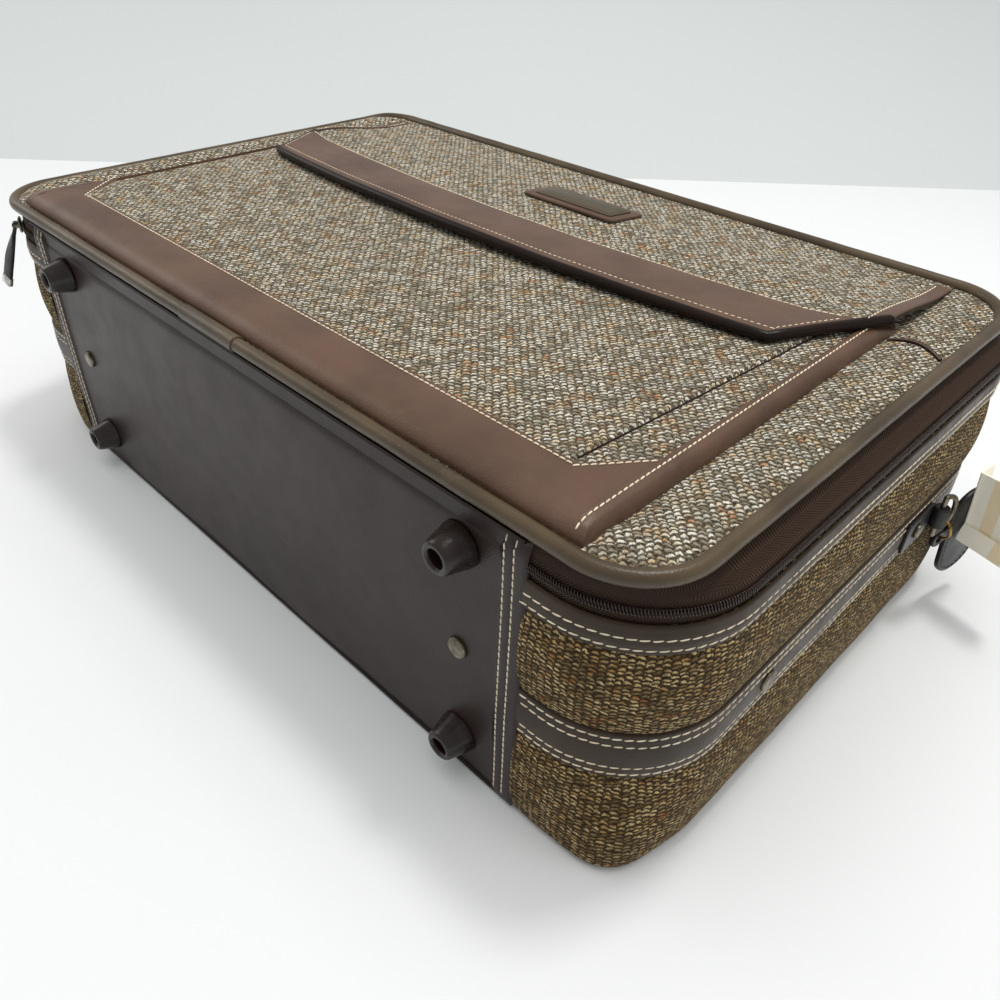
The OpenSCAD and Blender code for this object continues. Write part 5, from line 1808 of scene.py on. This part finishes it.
@dataclass
class Flap:
    """Flap over the pocket: tweed, wide leather band with a rolled edge, side strips and nameplate."""

    half_w: float = 236.0
    fold_y: float = 154.0
    edge_y: float = 4.0
    end_x: float = 203.0
    bow: float = 14.0
    cut_slope: float = 2.0
    low_z: float = 177.8
    top_z: float = 179.3
    fold_fill: float = 0.5
    fill_y: Pair = (30.0, 40.0)
    lift: float = 4.2
    lift_run: float = 70.0
    lift_share: Pair = (0.55, 0.45)
    lift_x: Pair = (-30.0, 130.0)
    dip: float = 7.0
    dip_y: Pair = (60.0, 150.0)
    most_dip: float = 7.3
    left_fall: float = 5.0
    fall_lead: float = 0.1
    uneven: Pair = (0.3, 45.0)
    band_w: float = 45.0
    band_t: float = 1.5
    band_crown: Pair = (0.4, 9.0)
    band_press: Pair = (0.35, 0.9)
    band_rows: Pair = (2.8, 5.6)
    band_points: int = 15
    under_y: float = 4.5
    turn_r: float = 1.4
    turn_y: float = 1.2
    turn_z: float = 1.5
    roll_r: float = 2.9
    roll_in: float = 0.9
    roll_z: float = 0.3
    side_r: float = 1.8
    side_in: float = 0.6
    side_z: float = 0.6
    strip_w: float = 9.0
    strip_t: float = 1.2
    strip_over: float = 0.8
    strip_crown: Pair = (0.4, 6.0)
    strip_row: float = 2.2
    strip_end: float = 150.0
    plate: Pair = (18.0, 88.0)
    backing_size: Point = (76.0, 35.0, 4.0)
    plate_size: Point = (64.0, 23.0, 2.0)
    field_size: Point = (59.0, 18.0, 1.2)

    def bow_y(self, x: float) -> float:
        """Free edge of the bow at one x."""
        r = (self.end_x ** 2 + self.bow ** 2) / (2 * self.bow)
        return self.edge_y - self.bow + r - sqrt(r * r - x * x)

    def edge(self, x: float) -> float:
        """Free edge of the flap at one x, with the cut corners."""
        return max(self.bow_y(x), self.edge_y + self.cut_slope * (abs(x) - self.end_x))

    def rise(self, x: float, y: float) -> float:
        """How far the flap stands off the pocket.

        Args:
            x: Place across the flap.
            y: Place from its free edge to its fold.

        Returns:
            The distance.
        """
        share = 1 - ease((y - self.edge(x)) / self.lift_run)
        (even, extra), (middle, width) = self.lift_share, self.lift_x
        full = even + extra * bell(x - middle, width)
        dip = self.dip * ease((y - self.dip_y[0]) / (self.dip_y[1] - self.dip_y[0]))
        fall = self.left_fall * ease((self.strip_w - self.half_w - x) / self.strip_w + self.fall_lead)
        return max(-self.most_dip, self.lift * share * full - dip - fall + wave(self.uneven, x, y, 1.0))

    def panel_top(self, x: float, y: float) -> float:
        """Height of the flap's tweed."""
        return self.top_z + self.rise(x, y) + self.fold_fill * ramp(y, self.fill_y)

    def panel_low(self, x: float, y: float) -> float:
        """Height of the underside of the flap, also a little beyond its sides."""
        return self.low_z + self.rise(max(-self.half_w, min(self.half_w, x)), y)

    def build(self) -> None:
        """Builds the tweed, the band, the strips, their stitches and the nameplate."""
        length = self.fold_y - self.edge(0.0)
        rows = []
        for x in crowded(-self.half_w, self.half_w, 7.0):
            ys = crowded(self.edge(x) + 1.0, self.fold_y, 8.0, like=length)
            rows.append(([(x, y) for y in ys], self.panel_top, self.panel_low))
        panel = Mesher()
        panel.slab(rows)
        panel.piece("flap_tweed_panel", FINISH.lid_tweed, Body.FLAP, Slot.TWEED, "flap_panel")
        self.build_band()
        self.build_rolled_edge()
        self.build_band_stitches()
        self.build_strips()
        self.build_nameplate()

    def band_end(self) -> float:
        """Half length of the band, up to where the cut corners have taken its whole width."""
        ends = spread(200, self.half_w, 0.1)
        return next(x for x in ends if self.edge(x) > self.bow_y(x) + self.band_w) - 0.4

    def band_ring(self, x: float) -> list[Point]:
        """Section of the band at one x: upper face, turned free edge and underside.

        Args:
            x: Place across the flap.

        Returns:
            The closed ring of points.
        """
        y0, y1 = self.edge(x), self.bow_y(x) + self.band_w
        wide = y1 - y0
        (crown, crown_run), (press, width) = self.band_crown, self.band_press
        ring = [(x, y1, self.top_z - 0.3 + self.rise(x, y1))]
        last = self.band_points - 1
        for k in range(self.band_points):
            e = wide - (wide - min(5.0, wide * 0.6)) * (k / last) ** 1.5
            y = y0 + e
            z = self.top_z + self.band_t * max(0.15, rolled(wide - e, EDGE_ROLL)) + self.rise(x, y)
            z += crown * ease((wide - e) / crown_run)
            z -= press * bell(wide - e - self.band_rows[0], width)
            ring.append((x, y, z))
        middle_z = self.low_z + self.rise(x, y0) + self.turn_z
        for a in range(80, 281, 20):
            c, s = cos_sin(a)
            ring.append((x, y0 + self.turn_y + self.turn_r * c, middle_z + self.turn_r * s))
        for k in (0.0, 0.3, 0.6, 0.9):
            y = y0 + min(self.under_y, wide) + k * max(0.0, wide - self.under_y)
            ring.append((x, y, self.low_z + 0.6 + self.rise(x, y)))
        return ring

    def build_band(self) -> None:
        """Builds the band along the free edge."""
        end = self.band_end()
        band = Mesher()
        band.loft([self.band_ring(x) for x in crowded(-end, end, 6.0)])
        band.piece("flap_band_leather", FINISH.trim, Body.FLAP, Slot.BROWN_LEATHER, "flap_band")

    def build_rolled_edge(self) -> None:
        """Builds the dark rolled edge along the free edge and the sides."""
        end, reach = self.band_end(), self.half_w - self.roll_in
        xs = spread(-reach, 1 - end, 2.0) + crowded(-end, end, 6.0) + spread(end - 1, reach, 2.0)
        cord = Mesher()
        cord.tube([(x, self.edge(x) + self.roll_in, self.panel_low(x, self.edge(x)) + self.roll_z)
                   for x in xs], self.roll_r, 12)
        for side in (-1, 1):
            x = side * (self.half_w - self.side_in)
            ys = spread(self.edge(x) + 1.0, self.strip_end, 6.0)
            cord.tube([(x, y, self.panel_low(x, y) + self.side_z) for y in ys], self.side_r, 10)
        cord.piece("flap_rolled_edge", FINISH.edge, Body.FLAP, Slot.BROWN_LEATHER)

    def build_band_stitches(self) -> None:
        """Builds the two rows of stitches along the band."""
        end = self.band_end()
        upper_in, lower_in = self.band_rows
        upper, lower = [], []
        for x in crowded(-end, end, 6.0):
            y0, y1 = self.edge(x), self.bow_y(x) + self.band_w
            if y1 - y0 > 9.0:
                for row, y in ((upper, y1 - upper_in), (lower, y0 + lower_in)):
                    row.append(((x, y, self.top_z + self.band_t + self.rise(x, y) + 0.1), (0.0, 0.0, 1.0)))
        thread = Mesher()
        thread.stitches(upper)
        thread.stitches(lower)
        thread.piece("flap_band_stitches", FINISH.thread, Body.FLAP, Slot.BROWN_LEATHER)

    def build_strips(self) -> None:
        """Builds the leather strips at the flap's sides with their stitches."""
        strips, thread = Mesher(), Mesher()
        inner, outer = self.half_w - self.strip_w, self.half_w + self.strip_over
        length = self.strip_end - self.bow_y(0.0) - self.band_w
        crown, crown_run = self.strip_crown
        for side in (-1, 1):
            rows = []
            for k in crowded(inner, outer, 2.5, 5.0):
                inside = min(k, self.half_w)
                y0 = max(self.edge(inside), self.bow_y(inside) + self.band_w) + 0.2
                edge = min(k - self.half_w + self.strip_w, outer - k)
                top = self.top_z + self.strip_t * max(0.15, rolled(edge, EDGE_ROLL))
                top += crown * ease(edge / crown_run)
                ys = crowded(y0, self.strip_end, 7.0, like=length)
                rows.append(([(side * k, y) for y in ys],
                             lambda x, y, z=top: z + self.rise(max(-self.half_w, min(self.half_w, x)), y),
                             self.panel_low))
            strips.slab(rows)
            x = side * (inner + self.strip_row)
            ys = spread(self.bow_y(x) + self.band_w + 3, self.strip_end - 2, 5.0)
            thread.stitches([((x, y, self.top_z + 1.35 + self.rise(x, y)), (0.0, 0.0, 1.0)) for y in ys])
        strips.piece("flap_strip_leather", FINISH.trim, Body.FLAP, Slot.BROWN_LEATHER, "flap_strips")
        thread.piece("flap_strip_stitches", FINISH.thread, Body.FLAP, Slot.BROWN_LEATHER)

    def build_nameplate(self) -> None:
        """Builds the bare metal plate on its leather backing."""
        x, y = self.plate
        slope = Vector((0.0, 2.0, self.rise(x, y + 1) - self.rise(x, y - 1))).normalized()
        seat = (x, y, self.top_z + 0.4 + self.rise(x, y))
        place = Placement(seat, (1, 0, 0), tuple(slope), (0, -slope.z, slope.y))
        backing = Mesher()
        backing.plate(place, round_rect(*self.backing_size), 0.2, 2.3, 0.8)
        backing.piece("nameplate_leather", FINISH.trim, Body.FLAP, Slot.BLACK_LEATHER, "nameplate_backing")
        plate = Mesher()
        plate.plate(place, round_rect(*self.plate_size), 2.2, 3.3, 0.5)
        plate.plate(place, round_rect(*self.field_size), 3.0, 3.6, 0.3)
        plate.piece("nameplate_metal", FINISH.bronze, Body.FLAP, Slot.BRASS, "nameplate")


@dataclass
class CarryHandle:
    """Leather grip on its steel core, with brackets and pins."""

    y: float = 188.0
    grip_z: float = 32.0
    grip_l: float = 100.0
    mid_r: float = 10.0
    end_r: float = 8.0
    row_angles: Pair = (-14.0, 14.0)
    stitch_pitch: float = 5.0

    def build(self) -> None:
        """Builds the grip with its seam and dresses the metal."""
        place = Placement((0.0, self.y, self.grip_z), *ALONG_X)
        half = self.grip_l / 2
        swell = [(self.mid_r - (self.mid_r - self.end_r) * (x / half) ** 2, x)
                 for x in spread(-half + 1.4, half - 1.4, 4)]
        profile = [(self.end_r - 1.2, -half), (self.end_r - 0.2, -half + 0.5), *swell,
                   (self.end_r - 0.2, half - 0.5), (self.end_r - 1.2, half)]
        grip = Mesher()
        grip.turned(place, profile, 28)
        grip.piece("grip_leather", FINISH.panel, Body.HANDLE, Slot.DARK_LEATHER, "handle_grip")
        thread = Mesher()
        for angle in self.row_angles:
            c, s = cos_sin(angle)
            thread.stitches([((x, self.y + r * c, self.grip_z + r * s), (0.0, c, s)) for r, x in swell],
                            pitch=self.stitch_pitch)
        thread.piece("grip_stitches", FINISH.thread, Body.HANDLE, Slot.DARK_LEATHER)
        dress_solids(FINISH.nickel, "handle_core", "handle_bracket_left", "handle_bracket_right",
                     "handle_pins")


@dataclass
class RingAndTag:
    """Ring tab, D-ring, split ring, luggage tag and card on the right side."""

    wall_x: float = 282.2
    bar: Point = (288.0, 93.0, 72.0)
    tab_y: float = 72.5
    tab_t: float = 2.2
    tab_size: Point = (32.0, 20.0, 3.0)
    neck_size: Point = (6.0, 13.0, 1.0)
    neck_at: float = 18.5
    loop: Pairs = (
        (1.65, -6.3), (2.4, -6.5), (3.9, -6.5), (4.5, -5.8), (4.5, 5.8), (3.9, 6.5), (2.4, 6.5), (1.65, 6.3))
    rivet_y: float = 71.0
    rivet_size: Pair = (4.5, 2.0)
    turn: float = -14.0
    lean: float = 11.0
    hook: Pair = (290.022, 101.108)
    split_r: float = 6.0
    split_wire: float = 0.6
    split_rise: float = 0.8
    tag_l: float = 64.0
    tag_w: float = 32.0
    tag_rise: float = 24.0
    tag_gap: float = 7.0
    tag_half_t: float = 1.5
    bridge: Point = (7.0, 9.0, 1.0)
    eyelet: Pairs = (
        (2.5, -1.2), (3.0, -1.5), (5.0, -1.5), (5.5, -1.0), (5.5, 1.0), (5.0, 1.5), (3.0, 1.5), (2.5, 1.2))
    border: float = 2.6
    stitch: Point = (3.6, 2.7, 0.35)
    card_w: float = 36.0
    card_leaf: float = 12.0
    card_at: float = 14.0
    card_bend: float = 1.0
    card_bow: float = 1.2
    card_half_t: float = 0.4
    card_curl: float = 0.6
    card_step: float = 3.4
    leaf_points: int = 6
    lower_leaf: Pairs = (
        (0.0, 9.5), (-2.6, 6.0), (-4.2, 1.0), (-4.6, -1.0), (-3.8, -1.0), (-3.4, 1.0), (-1.8, 5.6),
        (0.6, 8.8))

    def build(self) -> None:
        """Builds the tab, the split ring, the tag and the card, and dresses the D-ring."""
        self.build_tab()
        dress_solids(FINISH.nickel, "d_ring")
        c, s = cos_sin(self.turn)
        out, along = (c, s, 0.0), (-s, c, 0.0)
        low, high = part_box("split_ring")
        centre = tuple((low[k] + high[k]) / 2 / MM for k in range(3))
        ring = Placement(centre, out, (0, 0, 1), along)
        coil = [4 * pi * k / 60 for k in range(61)]
        wire = Mesher()
        wire.tube([ring.put(self.split_r * cos(t), self.split_r * sin(t),
                            self.split_rise * (t / (2 * pi) - 1)) for t in coil],
                  self.split_wire, 8, up=along)
        wire.piece("split_ring_wire", FINISH.brass, Body.TAG, Slot.BRASS, "split_ring")
        eye_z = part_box("luggage_tag")[1][2] / MM - self.tag_rise
        c, s = cos_sin(self.lean)
        eye = Placement((*self.hook, eye_z), (along[0] * c, along[1] * c, s),
                        (-along[0] * s, -along[1] * s, c), out)
        self.build_tag(eye)
        self.build_card(eye)

    def build_tab(self) -> None:
        """Builds the leather tab with its loop and rivet."""
        flat = Placement((self.wall_x, self.tab_y, self.bar[2]), *ALONG_X)
        axis = Placement(self.bar, (1, 0, 0), (0, 1, 0), (0, 0, 1))
        neck = [(u + self.neck_at, v) for u, v in round_rect(*self.neck_size)]
        tab = Mesher()
        tab.plate(flat, round_rect(*self.tab_size), 0.0, self.tab_t, 0.6)
        tab.plate(flat, neck, 0.1, self.tab_t - 0.1, 0.5)
        tab.hoop(axis, self.loop, 28)
        tab.piece("ring_tab_leather", FINISH.black, Body.CASE, Slot.BROWN_LEATHER, "ring_tab")
        spot = Placement((self.wall_x + self.tab_t, self.rivet_y, self.bar[2]), *ALONG_X)
        rivet = Mesher()
        rivet.turned(spot, rivet_profile(*self.rivet_size), 24)
        rivet.piece("ring_tab_rivet_head", FINISH.nickel, Body.CASE, Slot.NICKEL, "ring_tab_rivet")

    def build_tag(self, eye: Placement) -> None:
        """Builds the oval leather tag with its eyelet and stitched border.

        Args:
            eye: Frame at the eyelet, along the tag's width, up and out.
        """
        r, half_t = self.tag_w / 2, self.tag_half_t
        mid, high, low = self.tag_gap + r, self.tag_rise - r, self.tag_rise - self.tag_l + r
        turns = [pi * k / 14 for k in range(15)]
        plan = [(mid + r * cos(t), high + r * sin(t)) for t in turns]
        plan += [(mid - r * cos(t), low - r * sin(t)) for t in turns]
        bridge = [(u + self.tag_gap, v) for u, v in round_rect(*self.bridge)]
        tag = Mesher()
        tag.plate(eye, plan, -half_t, half_t, 0.7)
        tag.plate(eye, bridge, 0.2 - half_t, half_t - 0.2, 0.5)
        tag.hoop(eye, self.eyelet, 24)
        tag.piece("tag_leather", FINISH.black, Body.TAG, Slot.BLACK_LEATHER, "luggage_tag")
        border = inset_plan(plan, self.border)
        thread = Mesher()
        thread.stitches([(eye.put(u, v, half_t), eye.c) for u, v in border + border[:1]], *self.stitch)
        thread.piece("tag_stitches", FINISH.black, Body.TAG, Slot.BLACK_LEATHER)

    def build_card(self, eye: Placement) -> None:
        """Builds the folded card: one leaf on the tag, one standing out from it, and a leaf below.

        Args:
            eye: Frame at the eyelet, along the tag's width, up and out.
        """
        low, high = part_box("tag_card")
        z0, z1 = low[2] / MM, high[2] / MM
        start = self.tag_gap + self.card_at
        c, s = cos_sin(self.card_bend)
        line = [(start + self.card_leaf * (1 - k), 1.9) for k in spread(0, 0.94, 0.2)]
        line += [(start + 0.45, 2.0), (start + 0.25, 2.5)]
        line += [(start + 0.4 - s * w + self.card_bow * sin(pi * w / self.card_w), 1.5 + c * w)
                 for w in spread(1.6, self.card_w, self.card_step)]
        rows = []
        for k, (u, w) in enumerate(line):
            a, b = line[max(0, k - 1)], line[min(len(line) - 1, k + 1)]
            run = dist(a, b) or 1.0
            nu, nw = -(b[1] - a[1]) / run * self.card_half_t, (b[0] - a[0]) / run * self.card_half_t
            ring = []
            for side in (1, -1):
                for z in spread(z0, z1, 6.0)[::side]:
                    curl = self.card_curl * ((z - z0) / (z1 - z0) - 0.5) ** 2 * (k > self.leaf_points)
                    ring.append(eye.put(u + side * nu, z - eye.origin[2], w + side * nw + curl))
            rows.append(ring)
        card = Mesher()
        card.loft(rows)
        card.loft([[eye.put(start - 0.6 - s * w + du, z0 + dz - eye.origin[2], w)
                    for du, dz in self.lower_leaf] for w in spread(2.4, self.card_w - 1.0, self.card_step)])
        card.piece("card_paper", FINISH.card, Body.TAG, Slot.CARD, "tag_card")


@dataclass(frozen=True)
class SoftBox:
    """A square soft light, with its place and size in metres and its power in watts."""

    name: str
    place: Point
    size: float
    power: float
    mirrored: bool

    def hang(self, target: Point, colour: Point) -> None:
        """Adds the light to the scene.

        Args:
            target: Where it points.
            colour: Colour of its light.
        """
        light = bpy.data.lights.new(self.name, "AREA")
        light.shape = "SQUARE"
        light.size = self.size
        light.energy = self.power
        light.color = colour
        obj = bpy.data.objects.new(self.name, light)
        obj.location = self.place
        obj.rotation_mode = "QUATERNION"
        obj.rotation_quaternion = (Vector(target) - Vector(self.place)).to_track_quat("-Z", "Y")
        obj.visible_glossy = self.mirrored
        bpy.context.scene.collection.objects.link(obj)


@dataclass
class Studio:
    """Pale floor with a low backdrop, soft light and the camera."""

    eye: Point = (368.6, -351.6, 361.1)
    right: Point = (0.71181832, 0.70174618, 0.02944463)
    down: Point = (0.44274522, -0.41576647, -0.79442741)
    ahead: Point = (-0.54524431, 0.57852445, -0.60664496)
    lens: float = 30.617
    sensor: float = 36.0
    clip: Pair = (0.01, 50.0)
    back_left: Pair = (-985.0, 43.5)
    back_right: Pair = (21.5, 1025.0)
    bank: Pairs = ((0.0, 0.0), (620.0, 205.0), (900.0, 0.0))
    reach: float = 6000.0
    sunk: float = -0.6
    air: Colour = (1.0, 0.995, 0.985, 1.0)
    air_strength: float = 0.5
    light_colour: Point = (1.0, 0.98, 0.94)
    target: Point = (0.0, 0.0, 0.1)
    boxes: tuple[SoftBox, ...] = (
        SoftBox("wide_box", (0.0, -0.1, 2.2), 2.4, 34.0, False),
        SoftBox("small_box", (0.25, 0.4, 2.1), 0.3, 17.0, True),
        SoftBox("left_box", (-1.9, -0.5, 1.3), 1.0, 6.0, True),
        SoftBox("right_box", (2.0, 0.8, 0.7), 1.0, 8.0, False))

    def build(self) -> None:
        """Builds the set, the lights and the camera."""
        self.build_set()
        self.build_lights()
        self.build_camera()

    def build_camera(self) -> None:
        """Places the camera at the photograph's angle."""
        camera = bpy.data.cameras.new("photo_camera")
        camera.sensor_width = self.sensor
        camera.lens = self.lens
        camera.clip_start, camera.clip_end = self.clip
        obj = bpy.data.objects.new("photo_camera", camera)
        columns = (self.right, tuple(-v for v in self.down), tuple(-v for v in self.ahead))
        turn = Matrix(columns).transposed().to_4x4()
        obj.matrix_world = Matrix.Translation(Vector(self.eye) * MM) @ turn
        bpy.context.scene.collection.objects.link(obj)
        bpy.context.scene.camera = obj
        bpy.context.scene.view_settings.view_transform = "Standard"

    def build_set(self) -> None:
        """Builds the floor and the low sloping backdrop behind it."""
        a, b = Vector((*self.back_left, 0.0)), Vector((*self.back_right, 0.0))
        along, mid = (b - a).normalized(), (a + b) / 2
        front = along.cross(Vector((0, 0, 1)))
        for name, finish, profile in (
                ("studio_floor", FINISH.floor, ((-self.reach, 0.0), (0.0, 0.0))),
                ("studio_backdrop", FINISH.backdrop, (*self.bank, (self.reach, 0.0)))):
            points = []
            for back, rise in profile:
                for side in (-1, 1):
                    up = Vector((0, 0, rise + self.sunk))
                    points.append(tuple((mid + along * side * self.reach - front * back + up) * MM))
            faces = [(2 * k, 2 * k + 1, 2 * k + 3, 2 * k + 2) for k in range(len(profile) - 1)]
            mesh = bpy.data.meshes.new(name)
            mesh.from_pydata(points, [], faces)
            mesh.materials.append(finish.material())
            obj = bpy.data.objects.new(name, mesh)
            bpy.context.scene.collection.objects.link(obj)

    def build_lights(self) -> None:
        """Hangs soft boxes and lights the room evenly."""
        world = bpy.data.worlds.new("studio_air")
        world.use_nodes = True
        sky = world.node_tree.nodes["Background"]
        sky.inputs["Color"].default_value = self.air
        sky.inputs["Strength"].default_value = self.air_strength
        bpy.context.scene.world = world
        for box in self.boxes:
            box.hang(self.target, self.light_colour)


def main() -> None:
    """Builds every sub-assembly in order."""
    logging.basicConfig(level=logging.INFO, format="%(message)s")
    for part in (Studio(), CaseShell(), SideLeather(), BottomSide(), ZipFastener(), Lid(), Pocket(), Flap(),
                 CarryHandle(), RingAndTag()):
        log.info("building %s", type(part).__name__)
        part.build()
    bpy.context.view_layer.update()


if __name__ == "__main__":
    main()
